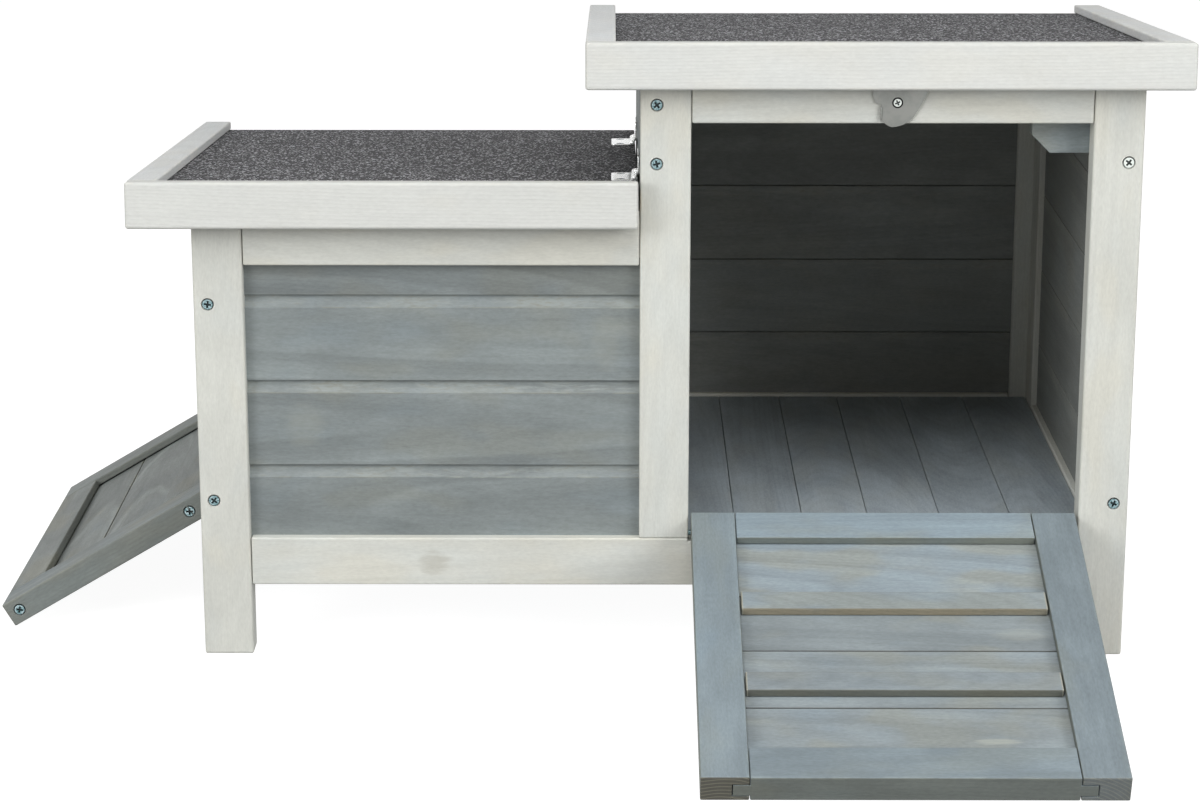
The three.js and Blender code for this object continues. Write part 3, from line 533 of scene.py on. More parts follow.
def wood(name, coat, settings):
    """Stained softwood: `coat` is the stain's colour, and the settings are those of PLAIN_WOOD."""
    look = SimpleNamespace(**{**PLAIN_WOOD, **settings})
    m = Stick(name)
    here, ragged = m.here, m.ragged
    ring, arch, vein = m.rings(look.ring_gap, look.straight)
    knot, knot_rings = m.knots()
    arris, from_end, from_side = m.faces()
    scoop, ridge = m.scoop()

    fibre = m.noise(here, (230, 720, 720), 3.0, 0.6)
    line = m.noise(here, (22, 430, 430), 4.0, 0.75)
    stroke = m.noise(m.shift(here, m.vector(m.wander * 0.05, 0.0, 0.0)), (5, 17, 17), 2.0, 0.45)
    speck = m.noise(here, (160, 520, 520))
    streak = m.noise(here, (5, 150, 150), 4.0, 0.62)
    blotch = m.noise(here, (12, 24, 24), 3.0, 0.55)
    patch = m.noise(here, (16, 34, 34), 2.0, 0.4)
    smear = m.noise(here, (34, 240, 240), 6.0, 0.74)

    def shade(*factor):
        return tint(coat, factor)

    # the stain, with its blotches and its warm and cold patches
    deep = 1 - 0.14 * look.mottle
    pale = 1 + 0.07 * look.mottle
    base = m.mix(m.step(blotch, 0.36, 0.66), shade(deep, deep, deep), shade(pale, pale, pale))
    base = m.mix(m.step(streak, 0.35, 0.7) * 0.6, base, coat)
    base = m.mix(m.step(patch + (m.tilt - 0.5) * 0.2, 0.52, 0.70) * look.warm, base, shade(1.03, 0.97, 0.87))
    base = m.mix(m.step(1 - patch + (m.bright - 0.5) * 0.3, 0.55, 0.75) * look.warm, base,
                 shade(0.95, 1.0, 1.06))

    # the grain that shows through it
    level = (1 - ring * look.ring_depth) * (1 - (streak - 0.5) * look.streak_depth * 2.4)
    level = level * (1 - (fibre - 0.5) * (0.06 + look.fine * 3.6)) * (1 - (line - 0.5) * look.fine * 1.8)
    level = level * (1 + m.step(stroke, 0.53, 0.57) * look.lap)
    level = level * (1 - m.step(speck, 0.70, 0.78) * look.fine)
    level = level * (1 - m.fade(stroke, 0.42, 0.44) * look.lap * 0.7)
    level = level * (1 - look.spread / 2 + m.bright * look.spread)
    level = level * (1 + (arch - 0.5) * look.figure) * (1 + vein * look.veins)
    base = m.shaded(base, m.grey(level))
    timber = m.mix(ring, shade(0.80, 0.74, 0.62), shade(0.50, 0.43, 0.34))
    base = m.mix(knot * (0.42 - look.cover * 0.25) + knot_rings * 0.12, base, timber)

    # wear on the arrises and in the scoop, and the marks
    good = m.step(m.out, -1 * MM, 1 * MM, 0.3, 1.0)
    edge = m.fade(arris - ragged * (3.5 * MM), -1.2 * MM, 0.6 * MM)
    rubbed = m.mix(m.step(streak + (ragged - 0.5) * 0.8, 0.40, 0.62), shade(0.92, 0.80, 0.64),
                   shade(1.42, 1.36, 1.22))
    chalky = m.mix(m.step(speck, 0.28, 0.56), shade(1.16, 1.04, 0.90), shade(1.36, 1.34, 1.29))
    chalk = m.step(smear + (patch - 0.5) * 0.5, 0.40, 0.64) * 0.78
    dark_mark, pale_mark = m.blemish(smear)
    base = m.mix(edge * good * look.worn * m.step(ragged, 0.42, 0.62), base, rubbed)
    base = m.mix(scoop * look.scuffed * chalk, base, chalky)
    base = m.mix(ridge * look.scuffed * m.step(ragged + streak * 0.3, 0.56, 0.72) * 0.8, base, rubbed)
    base = m.mix(dark_mark, base, shade(0.58, 0.54, 0.48))
    base = m.mix(pale_mark, base, shade(1.45, 1.34, 1.16))

    # narrow faces tinted and darkened with painted shade, outlined arrises, thin stain and sawn ends
    base = m.mix(m.fade(from_side, 0.1 * MM, 0.6 * MM), base, m.shaded(base, look.edge_tint))
    base = m.mix(m.step(arris, 0.1 * MM, 0.9 * MM, 0.6, 0.0) * look.outlined, base, shade(0.30, 0.28, 0.24))
    base = m.mix(m.fade(from_end, 0.9 * MM, 1.6 * MM) * look.outlined * 0.8, base, shade(1.55, 1.34, 1.05))
    thin = m.step(m.noise(here, (9, 120, 120), 3.0, 0.7), 0.60, 0.80) * (1 - look.cover)
    base = m.mix(thin, base, timber)
    sawn = m.mix(m.step(ring, 0.45, 0.85), shade(0.24, 0.18, 0.11), shade(0.60, 0.47, 0.30))
    end = m.fade(from_end, 0.4 * MM, 0.9 * MM)
    base = m.mix(end * look.end_bare * (0.35 + m.heart * 0.65), base, sawn)

    height = fibre * 0.3 + line * 0.35 + streak * 0.2 + ring * look.line_bump * 0.5 - knot * 0.3
    return m.surface(
        Base_Color=base,
        Roughness=m.step(streak + fibre * 0.4, 0.4, 1.0, 0.56, 0.70),
        Normal=m.bump(height, 0.22 * MM, 0.55),
    )


# ---------------------------------------------------------------- felt and metal
def roofing_felt(name, bitumen, granule):
    """Mineral felt: dark bitumen under granules from charcoal to pale grey."""
    m = Finish(name)
    here = m.node("ShaderNodeTexCoord").output("Object")
    grit = m.cells(here, 980.0)
    shade, other = m.split(grit.output("Color"))[:2]
    flake = m.split(m.cells(here, 700.0).output("Color"))[1]
    patch = m.noise(here, (14, 14, 14), 3.0)
    base = m.mix(m.step(shade ** 2.6, 0.02, 0.95) * 0.66, bitumen, tint(granule, (0.20, 0.20, 0.21)))
    base = m.mix(m.step(flake, 0.87, 0.88), base, granule)
    return m.surface(
        Base_Color=m.shaded(base, m.grey(0.86 + patch * 0.28)),
        Roughness=m.step(other, 0.0, 1.0, 0.72, 0.98),
        Normal=m.bump((1 - grit) * 0.7 + shade * 0.6 + flake * 0.5, 0.9 * MM, 0.9),
    )


def metal(name, colour, roughness, mottled, plated, scale=420.0):
    """Plated steel with faint blooms and hairlines, and painted shade in its recesses and on its screws'
    rims.

    `mottled` is how dark the blooms are, `scale` how many there are to a metre, and `plated` how
    metallic the plating looks: less for a dull white one.
    """
    m = Finish(name)
    here = m.node("ShaderNodeTexCoord").output("Object")
    bloom = m.noise(here, (scale, scale, scale), 3.0, 0.6)
    hair = m.noise(here, (scale * 0.4, scale * 0.4, scale * 6))
    dull = tint(colour, (1 - mottled * 1.12, 1 - mottled * 0.92, 1 - mottled * 0.9))
    base = m.mix(m.step(bloom, 0.42, 0.6), dull, colour)
    # painted shade: vertices whose tone starts high are drawn dark, as the shadow in holes, recesses and
    # countersinks
    painted_shade = m.split(m.attribute("tone"))[0]
    return m.surface(
        Base_Color=m.mix(m.step(painted_shade, 0.0, 0.25), base, tint(colour, (0.07, 0.08, 0.08))),
        Metallic=plated,
        Roughness=m.step(bloom, 0.3, 0.7, roughness + 0.08, roughness - 0.05),
        Normal=m.bump(bloom * 0.6 + hair * 0.4, 0.08 * MM, 0.4),
    )


# ---------------------------------------------------------------- the hutch's finishes
AS_IT_IS = (1.0, 1.0, 1.0)
CLEAT = {"cover": 0.84, "ring_depth": 0.07, "streak_depth": 0.07, "warm": 0.6, "worn": 0.2, "fine": 0.11,
         "lap": 0.06, "end_bare": 0.5, "outlined": 1.0}

# each wood: the stain it has, how that is tinted, and what differs from plain stained wood
WOODS = {
    "whitewash": ("whitewash", AS_IT_IS, {
        "cover": 0.93, "ring_depth": 0.03, "worn": 0.12, "mottle": 0.4, "fine": 0.06, "lap": 0.02,
        "end_bare": 0.15}),
    "fascia_white": ("fascia", AS_IT_IS, {
        "cover": 0.96, "ring_gap": 2.7 * MM, "ring_depth": 0.028, "streak_depth": 0.02, "warm": 0.12,
        "worn": 0.15, "fine": 0.05, "straight": True, "line_bump": 0.6, "mottle": 0.2, "lap": 0.01,
        "end_bare": 0.1}),
    "strip_white": ("whitewash", (1.08, 1.09, 1.17), {
        "cover": 0.9, "ring_depth": 0.04, "warm": 0.2, "worn": 0.3, "mottle": 0.3, "fine": 0.07, "lap": 0.02,
        "end_bare": 0.2}),
    "stained_board": ("stain", AS_IT_IS, {
        "ring_depth": 0.04, "warm": 0.5, "worn": 0.12, "scuffed": 1.0, "fine": 0.11, "spread": 0.3,
        "figure": 0.16}),
    "panel_board": ("stain", (1.06, 0.99, 0.94), {
        "cover": 0.9, "ring_depth": 0.03, "streak_depth": 0.04, "warm": 0.25, "worn": 0.1, "scuffed": 0.6,
        "lap": 0.03, "spread": 0.16, "figure": 0.05}),
    "floor_board": ("floor", AS_IT_IS, {
        "cover": 0.84, "ring_depth": 0.06, "streak_depth": 0.07, "worn": 0.3, "fine": 0.12, "figure": 0.08}),
    # the ramps' and doors' narrow faces are drawn darker as painted shade where they face away from the light
    # or line a gap; the cleats' are also tinted tan
    "ramp_frame": ("ramp_stain", AS_IT_IS, {
        "streak_depth": 0.06, "warm": 0.5, "worn": 0.35, "fine": 0.11, "end_bare": 0.95, "spread": 0.3,
        "figure": 0.06, "edge_tint": (0.60, 0.56, 0.47)}),
    "ramp_board": ("ramp_stain", (1.12, 1.055, 1.01), {
        "warm": 0.8, "worn": 0.08, "fine": 0.11, "end_bare": 0.9, "spread": 0.3, "figure": 0.13,
        "edge_tint": (0.35, 0.33, 0.30)}),
    "cleat": ("ramp_stain", (1.14, 1.08, 1.03), {**CLEAT, "edge_tint": (0.92, 0.74, 0.54)}),
    "dark_cleat": ("ramp_stain", (1.10, 1.04, 1.01), {**CLEAT, "edge_tint": (0.50, 0.46, 0.37)}),
    "side_frame": ("side_stain", AS_IT_IS, {
        "cover": 0.84, "ring_depth": 0.06, "streak_depth": 0.07, "warm": 0.8, "worn": 0.3, "fine": 0.11,
        "end_bare": 0.9, "figure": 0.08, "edge_tint": (0.86, 0.85, 0.80)}),
    "side_board": ("side_stain", AS_IT_IS, {
        "cover": 0.84, "ring_depth": 0.06, "streak_depth": 0.07, "warm": 0.7, "worn": 0.9, "fine": 0.13,
        "lap": 0.06, "figure": 0.18, "veins": 0.20, "edge_tint": (0.35, 0.33, 0.30)}),
    "bare_wood": ("bare_wood", AS_IT_IS, {
        "cover": 0.5, "ring_depth": 0.22, "streak_depth": 0.08, "warm": 0.4, "worn": 0.1}),
}

# each metal: its material's name, its colour, and how it differs
METALS = {
    "zinc": ("zinc_screw", "zinc", {"roughness": 0.38, "mottled": 0.70, "scale": 900.0, "plated": 0.5}),
    "bright_zinc": ("bright_zinc_screw", "bright_zinc", {"roughness": 0.36, "mottled": 0.15, "plated": 0.5}),
    "plate": ("zinc_plate", "plate", {"roughness": 0.46, "mottled": 0.07, "scale": 130.0, "plated": 0.8}),
    "hinge": ("bright_hinge", "nickel", {"roughness": 0.22, "mottled": 0.04, "plated": 0.92}),
}

SLOTS = {"bare_wood": "bare_wood", "felt": "roofing_felt"}
SLOTS.update(dict.fromkeys(("whitewash", "fascia_white", "strip_white"), "whitewashed_wood"))
SLOTS.update(dict.fromkeys(("zinc", "bright_zinc", "plate", "hinge"), "zinc_plate"))
SLOTS.update({look: "stained_wood" for look in WOODS if look not in SLOTS})

FINISHES = {}


def finish(look):
    """One of the hutch's finishes, made the first time it is asked for."""
    if look not in FINISHES:
        shades = colours()
        if look in WOODS:
            stain, factor, settings = WOODS[look]
            FINISHES[look] = wood(look, tint(getattr(shades, stain), factor), settings)
        elif look in METALS:
            name, plating, settings = METALS[look]
            FINISHES[look] = metal(name, getattr(shades, plating), **settings)
        else:
            FINISHES[look] = roofing_felt("roofing_felt", shades.felt, shades.granule)
    return FINISHES[look]


# ---------------------------------------------------------------- modelling
AXES = {"x": 0, "y": 1, "z": 2}
DICE = random.Random(41)
ROUND = math.radians(40)


def direction(text):
    """Unit vector of an axis name such as "-y"."""
    v = Vector((0, 0, 0))
    v[AXES[text[-1]]] = -1 if text[0] == "-" else 1
    return v


def stick_axes(grain, out):
    """Numbers of the axes along a stick's grain, across it, and out of its good face."""
    i = AXES[grain]
    k = AXES[out[-1]]
    return i, 3 - i - k, k


def move_faces(low, high, faces):
    """Moves faces of a box that are named by axis and side, such as z0 for its underside."""
    for face, value in faces.items():
        corner = low if face[1] == "0" else high
        corner[AXES[face[0]]] = value


class Shape:
    """A piece under construction, in the straight frame of the panel it belongs to."""

    def __init__(self):
        self.bm = bmesh.new()
        layers = self.bm.verts.layers
        self.grain = layers.float_vector.new("grain")
        self.half = layers.float_vector.new("half")
        self.tone = layers.float_vector.new("tone")
        self.blemish = layers.float_vector.new("blemish")
        self.ridge = layers.float.new("ridge")
        self.marked = layers.int.new("marked")

    def mark(self, low, high, grain, out, node=None, ridge=None):
        """Gives the newest stick its own coordinates, its tone, its blemish and its height over a ridge."""
        i, j, k = stick_axes(grain, out)
        side = -1 if out[0] == "-" else 1
        middle = (low + high) / 2
        half = (high - low) / 2
        tone = TONES.get(node) or [DICE.random() for _ in range(3)]
        at, beside, reach, spread, dark = BLEMISHES.get(node, (0, 0, 1, 1, 0))
        for v in self.bm.verts:
            if v[self.marked]:
                continue
            p = v.co - middle
            v[self.grain] = (p[i], p[j], p[k] * side)
            v[self.half] = (half[i], half[j], half[k])
            v[self.tone] = tone
            v[self.blemish] = ((p[i] / MM - at) / reach, (p[j] / MM - beside) / spread, dark)
            v[self.ridge] = 1.0 if ridge is None else v.co[j] - ridge
            v[self.marked] = 1

    def edges_of(self, verts):
        """The edges at some vertices, in the order that the shape keeps them in."""
        found = {edge for v in verts for edge in v.link_edges}
        return [edge for edge in self.bm.edges if edge in found]

    def ring(self, points, filled):
        """A ring of vertices through some points, filled or open."""
        made = bmesh.ops.create_circle(self.bm, segments=len(points), radius=1.0, cap_ends=filled)["verts"]
        for v, point in zip(made, points):
            v.co = point
        return made

    def bevel(self, edges, amount, segments, **more):
        return bmesh.ops.bevel(self.bm, geom=edges, offset=amount, offset_type="OFFSET", segments=segments,
                               profile=0.5, affect="EDGES", material=-1, **more)

    def ease(self, verts, amount, segments=3):
        """Rounds the edges between some vertices."""
        chosen = set(verts)
        between = [edge for edge in self.edges_of(verts) if set(edge.verts) <= chosen]
        self.bevel(between, amount, segments, clamp_overlap=True)

    def block(self, low, high, ease, segments=3):
        """A block with rounded edges."""
        made = bmesh.ops.create_cube(self.bm, size=1.0)["verts"]
        bmesh.ops.scale(self.bm, vec=high - low, verts=made)
        bmesh.ops.translate(self.bm, vec=(low + high) / 2, verts=made)
        self.ease(made, ease, segments)

    def sweep(self, outline, axis, start, end, ease=0.0, segments=2):
        """A closed outline, given as points in the other two axes, swept straight along one axis."""
        i = AXES[axis]
        others = [a for a in range(3) if a != i]
        points = []
        for pair in outline:
            point = Vector((0, 0, 0))
            point[i] = start
            point[others[0]], point[others[1]] = pair
            points.append(point)
        ring = self.ring(points, True)
        swept = bmesh.ops.extrude_face_region(self.bm, geom=ring[0].link_faces[:], use_keep_orig=True)
        moved = [g for g in swept["geom"] if isinstance(g, bmesh.types.BMVert)]
        travel = Vector((0, 0, 0))
        travel[i] = end - start
        bmesh.ops.translate(self.bm, vec=travel, verts=moved)
        faces = dict.fromkeys(f for v in ring + moved for f in v.link_faces)
        bmesh.ops.recalc_face_normals(self.bm, faces=list(faces))
        if ease > 0:
            self.ease(ring + moved, ease, segments)

    def rod(self, start, end, radius, ease, segments=24, end_radius=None):
        """A round bar between two points with softened rims."""
        run = end - start
        place = Matrix.Translation((start + end) / 2) @ run.to_track_quat("Z", "Y").to_matrix().to_4x4()
        made = bmesh.ops.create_cone(
            self.bm, cap_ends=True, segments=segments, radius1=radius,
            radius2=radius if end_radius is None else end_radius, depth=run.length, matrix=place)["verts"]
        if ease > 0:
            rims = [edge for edge in self.edges_of(made) if any(len(f.verts) > 4 for f in edge.link_faces)]
            self.bevel(rims, ease, 2)

    def recess(self, centres, normal, outline, depth, taper=HOLE_TAPER):
        """Sinks an outline, given as points in one flat face, into that face at each centre."""
        self.bm.normal_update()
        flat = next(f for f in self.bm.faces if f.normal.dot(normal) > 0.999
                    and abs((f.calc_center_median() - centres[0]).dot(normal)) < 0.02 * MM
                    and bmesh.geometry.intersect_face_point(f, centres[0]))
        rim = list(flat.edges)
        bmesh.ops.delete(self.bm, geom=[flat], context="FACES_ONLY")
        turn = normal.to_track_quat("Z", "Y").to_matrix()
        rings = []
        for centre in centres:
            made = self.ring([centre + turn @ Vector((x, y, 0)) for x, y in outline], False)
            rings.append((centre, self.edges_of(made)))
        edges = [edge for _, ring_edges in rings for edge in ring_edges]
        bmesh.ops.triangle_fill(self.bm, use_beauty=True, edges=rim + edges, normal=normal)
        for centre, ring_edges in rings:
            sunk = bmesh.ops.extrude_edge_only(self.bm, edges=ring_edges)["geom"]
            moved = [g for g in sunk if isinstance(g, bmesh.types.BMVert)]
            bmesh.ops.translate(self.bm, vec=normal * -depth, verts=moved)
            # the sunk vertices are marked for painted shade, which a metal finish draws dark as the hole's
            # shadow; a wooden stick's own mark replaces it
            for v in moved:
                v[self.tone] = (1, 0, 0)
            bmesh.ops.scale(self.bm, vec=(taper,) * 3, verts=moved,
                            space=Matrix.Translation(normal * depth - centre))
            floor = [edge for edge in self.bm.edges if set(edge.verts) <= set(moved)]
            bmesh.ops.holes_fill(self.bm, edges=floor, sides=0)

    def trim(self, point, normal):
        """Cuts away what lies beyond a plane and closes the cut."""
        whole = [*self.bm.verts, *self.bm.edges, *self.bm.faces]
        cut = bmesh.ops.bisect_plane(self.bm, geom=whole, plane_co=point, plane_no=normal, clear_outer=True)
        rim = [g for g in cut["geom_cut"] if isinstance(g, bmesh.types.BMEdge)]
        bmesh.ops.holes_fill(self.bm, edges=rim, sides=0)

    def piece(self, name, body, look, nodes=(), place=None, smooth=None):
        """Turns the shape into a finished piece that rides on a body and stands for its parts."""
        self.bm.verts.layers.int.remove(self.marked)
        if place:
            bmesh.ops.transform(self.bm, matrix=place, verts=self.bm.verts)
        bmesh.ops.dissolve_degenerate(self.bm, dist=0.002 * MM, edges=self.bm.edges)
        bmesh.ops.recalc_face_normals(self.bm, faces=self.bm.faces)
        mesh = bpy.data.meshes.new(name)
        self.bm.to_mesh(mesh)
        self.bm.free()
        if smooth:
            mesh.shade_smooth()
            mesh.set_sharp_from_angle(angle=smooth)
        mesh.materials.append(finish(look))
        made = bpy.data.objects.new(name, mesh)
        bpy.context.scene.collection.objects.link(made)
        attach(made, body)
        if nodes:
            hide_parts(*nodes)


def circle(radius, count=28):
    """Points of a circle."""
    return [(radius * math.cos(math.tau * i / count), radius * math.sin(math.tau * i / count))
            for i in range(count)]


def cross(reach, width, turn):
    """Points of a plus sign, for the recess of a screw."""
    arm = [(reach, -width), (reach, width), (width, width)]
    points = []
    for quarter in range(4):
        a = turn + quarter * math.pi / 2
        points += [(x * math.cos(a) - y * math.sin(a), x * math.sin(a) + y * math.cos(a)) for x, y in arm]
    return points


def rounded(x0, x1, y0, y1, radius, steps=4):
    """Points of a rectangle with round corners."""
    points = []
    centres = ((x1 - radius, y1 - radius), (x0 + radius, y1 - radius),
               (x0 + radius, y0 + radius), (x1 - radius, y0 + radius))
    for quarter, (x, y) in enumerate(centres):
        for i in range(steps + 1):
            a = (quarter + i / steps) * math.pi / 2
            points.append((x + radius * math.cos(a), y + radius * math.sin(a)))
    return points


def smooth_outline(start, *parts, steps=6):
    """Points in millimetres along straight lines (an end given) and curves (a bend and an end given)."""
    points = [Vector(start)]
    for part in parts:
        if len(part) == 2:
            points.append(Vector(part))
            continue
        a, b, c = points[-1], Vector(part[:2]), Vector(part[2:])
        for i in range(1, steps + 1):
            t = i / steps
            points.append(a * (1 - t) ** 2 + b * 2 * t * (1 - t) + c * t * t)
    return [tuple(p * MM) for p in points]


# ---------------------------------------------------------------- screws
def add_screw(shape, centre, normal, radius, sunk=0.25 * MM):
    """A countersunk screw with a rounded rim, dark at its outer edge with painted shade, and a cross recess
    with painted shade, its head just below the face.
    """
    depth = radius * 0.75
    top = centre - normal * sunk
    shape.rod(top - normal * depth, top, radius * 0.45, 0, SCREW_SIDES, radius)
    rim = [edge for edge in shape.bm.edges
           if any(len(f.verts) == SCREW_SIDES and f.normal.dot(normal) > 0.99
                  and (f.calc_center_median() - top).length < radius * 0.1 for f in edge.link_faces)]
    # painted shade: the rim's outer edge is drawn dark as the countersink's shadow, its inner edge hardly at
    # all
    for v in shape.bevel(rim, radius * 0.17, 3)["verts"]:
        v[shape.tone] = (0.24 if (v.co - top).length > radius * 0.9 else 0.03, 0, 0)
    turn = DICE.uniform(0, math.pi / 2)
    shape.recess([top], normal, cross(radius * 0.62, radius * 0.17, turn), radius * 0.45, 0.7)


def screw_set(name, body, places, out, place=None, radius=None, look="zinc"):
    """Screws of one member as one piece."""
    shape = Shape()
    for centre in places:
        add_screw(shape, Vector(centre), direction(out), radius or sizes().screw_head)
    shape.piece(name, body, look, place=place, smooth=ROUND)


def sink_screws(shape, screws, out):
    """The holes that frame screws lie in."""
    hole = circle(sizes().screw_head + sizes().screw_rim)
    shape.recess([Vector(centre) for centre in screws], direction(out), hole, HOLE_DEPTH)


# ---------------------------------------------------------------- timber
def timber(node, grain, out, body="frame", look="whitewash", place=None, screws=(), under=None, ease=None,
           **faces):
    """One length of planed timber in place of a part, with the screws that go into its good face.

    `under` is the height of the sloping roof plane over the front face, which cuts the timber's top,
    and `faces` moves faces of the part's own box.
    """
    low, high = node_box(node, place or Matrix.Identity(4))
    move_faces(low, high, faces)
    shape = Shape()
    if under is None:
        shape.block(low, high, ease or sizes().timber_edge)
    else:
        high.z = under + SPARE
        shape.block(low, high, ease or sizes().timber_edge)
        high.z = under
        shape.trim(Vector((0, FRONT, under)), Vector((0, math.sin(SLOPE), math.cos(SLOPE))))
    if screws:
        sink_screws(shape, screws, out)
    shape.mark(low, high, grain, out, node)
    shape.piece(f"{node}_wood", body, look, [node], place)
    newer = NEWER_SCREWS.get(node, 0)
    if screws[newer:]:
        screw_set(f"{node}_screws", body, screws[newer:], out, place)
    if newer:
        screw_set(f"{node}_newer_screws", body, screws[:newer], out, place, look="bright_zinc")


def frame_screws(side, node, top):
    """Screws in a member of the front or back face, which are lower at the back if they are near its top."""
    edge, inset, heights = FRONT_SCREWS[node.replace(side, "front")]
    y, drop = (FRONT, 0) if side == "front" else (BACK, FALL * (BACK - FRONT))
    half = top / 2
    return [(edge + inset * MM, y, z * MM - (drop if z * MM > half else 0)) for z in heights]


# ---------------------------------------------------------------- frames
def build_frames():
    gap = sizes().joint_gap
    x0, x1 = LEFT + POST + gap, RIGHT - POST - gap
    for side, out in (("front", "-y"), ("back", "y")):
        for end, top in (("left", LOW_TOP), ("right", TALL_TOP)):
            leg = f"leg_{side}_{end}"
            timber(leg, "z", out, screws=frame_screws(side, leg, top), under=top, ease=LEG_EDGE)
        post = f"post_{side}_middle"
        timber(post, "z", out, screws=frame_screws(side, post, TALL_TOP), under=TALL_TOP, z0=RAIL_TOP)
        if side == "back":
            timber("rail_back_bottom", "x", out, x0=x0, x1=x1, y0=BACK - FRAME_DEPTH, y1=BACK)
        timber(f"rail_{side}_top_low", "x", out, under=LOW_TOP, x0=x0, x1=MIDDLE_LEFT - gap)
        timber(f"rail_{side}_top_tall", "x", out, under=TALL_TOP, x0=MIDDLE_RIGHT + gap, x1=x1)
    y0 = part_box("stile_left_front")[1].y
    y1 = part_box("stile_left_back")[0].y
    for end, out, top in (("left", "-x", LOW_TOP), ("right", "x", TALL_TOP)):
        for side in ("front", "back"):
            timber(f"stile_{end}_{side}", "z", out, under=top)
        timber(f"rail_{end}_bottom", "y", out, y0=y0, y1=y1)
        timber(f"rail_{end}_top", "y", out, under=top, y0=y0, y1=y1)
    build_doorway_rail()
    build_door_stop()


def build_doorway_rail():
    """The front bottom rail, cut down a little under the doorway."""
    low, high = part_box("rail_front_bottom")
    gap = sizes().joint_gap
    low.x, high.x, high.y = LEFT + POST + gap, RIGHT - POST - gap, FRONT + FRAME_DEPTH
    sill = high.z - SILL_DROP
    outline = [(low.x, low.z), (high.x, low.z), (high.x, sill), (MIDDLE_RIGHT, sill), (MIDDLE_RIGHT, high.z),
               (low.x, high.z)]
    shape = Shape()
    shape.sweep(outline, "y", low.y, high.y, sizes().timber_edge, 3)
    shape.mark(low, high, "x", "-y", "rail_front_bottom")
    shape.piece("rail_front_bottom_wood", "frame", "whitewash", ["rail_front_bottom"])


def build_door_stop():
    """The door stop: a short board with one corner cut off."""
    low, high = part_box("door_stop")
    outline = [(low.x + STOP_CORNER, low.z), (high.x, low.z), (high.x, high.z), (low.x, high.z),
               (low.x, low.z + STOP_CORNER)]
    shape = Shape()
    shape.sweep(outline, "y", low.y, high.y, THIN_EDGE)
    shape.mark(low, high, "x", "-y")
    shape.piece("door_stop_wood", "frame", "stained_board", ["door_stop"])


# ---------------------------------------------------------------- boards
def board_outline(across, thick, cove):
    """Section of a board: (start, end) across it and (inner, good) faces, with the scoop at the end."""
    u0, u1 = across
    w0, w1 = thick
    ease = sizes().board_edge
    side = 1 if w1 > w0 else -1
    bottom = [(u0, w1 - side * ease), (u0, w0 + side * ease), (u0 + ease, w0)]
    top = [(u1 - ease, w0), (u1, w0 + side * ease)]
    if not cove:
        return bottom + top + [(u1, w1 - side * ease), (u1 - ease, w1), (u0 + ease, w1)]
    height, depth = cove
    steps = 8
    scoop = [(u1 - height * (1 - i / steps), w1 - side * depth * math.sin(i / steps * math.pi / 2))
             for i in range(steps, -1, -1)]
    return bottom + top + scoop + [(u0 + ease, w1)]


def add_board(shape, low, high, grain, out, cove=None, node=None, tongue=0.0):
    """One board, with a tongue that stands out of its far edge by `tongue`."""
    i, j, k = stick_axes(grain, out)
    inner, good = (high[k], low[k]) if out[0] == "-" else (low[k], high[k])
    pairs = board_outline((low[j], high[j]), (inner, good), cove)
    if k < j:
        pairs = [(w, u) for u, w in pairs]
    shape.sweep(pairs, grain, low[i], high[i])
    if tongue:
        foot, tip = low.copy(), high.copy()
        foot[i] += TONGUE_SHORT
        tip[i] -= TONGUE_SHORT
        foot[j], tip[j] = high[j] - TONGUE_ROOT, high[j] + tongue
        foot[k], tip[k] = sorted(inner + (good - inner) * share for share in TONGUE_SHARES)
        shape.block(foot, tip, TONGUE_EDGE, 1)
    shape.mark(low, high, grain, out, node, high[j] - cove[0] if cove else None)


def board_spans(edges, gap):
    """Start, end and tongue of each board between some edges, short of each joint by `gap`."""
    last = len(edges) - 2
    return [(edges[i] + (gap if i else 0), edges[i + 1] - (gap if i < last else 0),
             2 * gap + TONGUE_ROOT if i < last else 0) for i in range(last + 1)]


def add_boards(shape, low, high, joints, grain, out, cove=None, gap=None):
    """Boards edge to edge between two corners of a panel. The last one has no tongue and no scoop."""
    j = stick_axes(grain, out)[1]
    for start, end, tongue in board_spans([low[j], *joints, high[j]], gap or sizes().board_gap / 2):
        foot, tip = low.copy(), high.copy()
        foot[j], tip[j] = start, end
        add_board(shape, foot, tip, grain, out, cove if tongue else None, tongue=tongue)


def separate_boards(nodes, low, high, joints, out, gap, body, look, cove=None, place=None):
    """Boards that are parts of their own, lying along x one above another."""
    for node, (start, end, tongue) in zip(nodes, board_spans([low.z, *joints, high.z], gap)):
        shape = Shape()
        foot, tip = Vector((low.x, low.y, start)), Vector((high.x, high.y, end))
        add_board(shape, foot, tip, "x", out, cove if tongue else None, node, tongue)
        shape.piece(f"{node}_wood", body, look, [node], place)


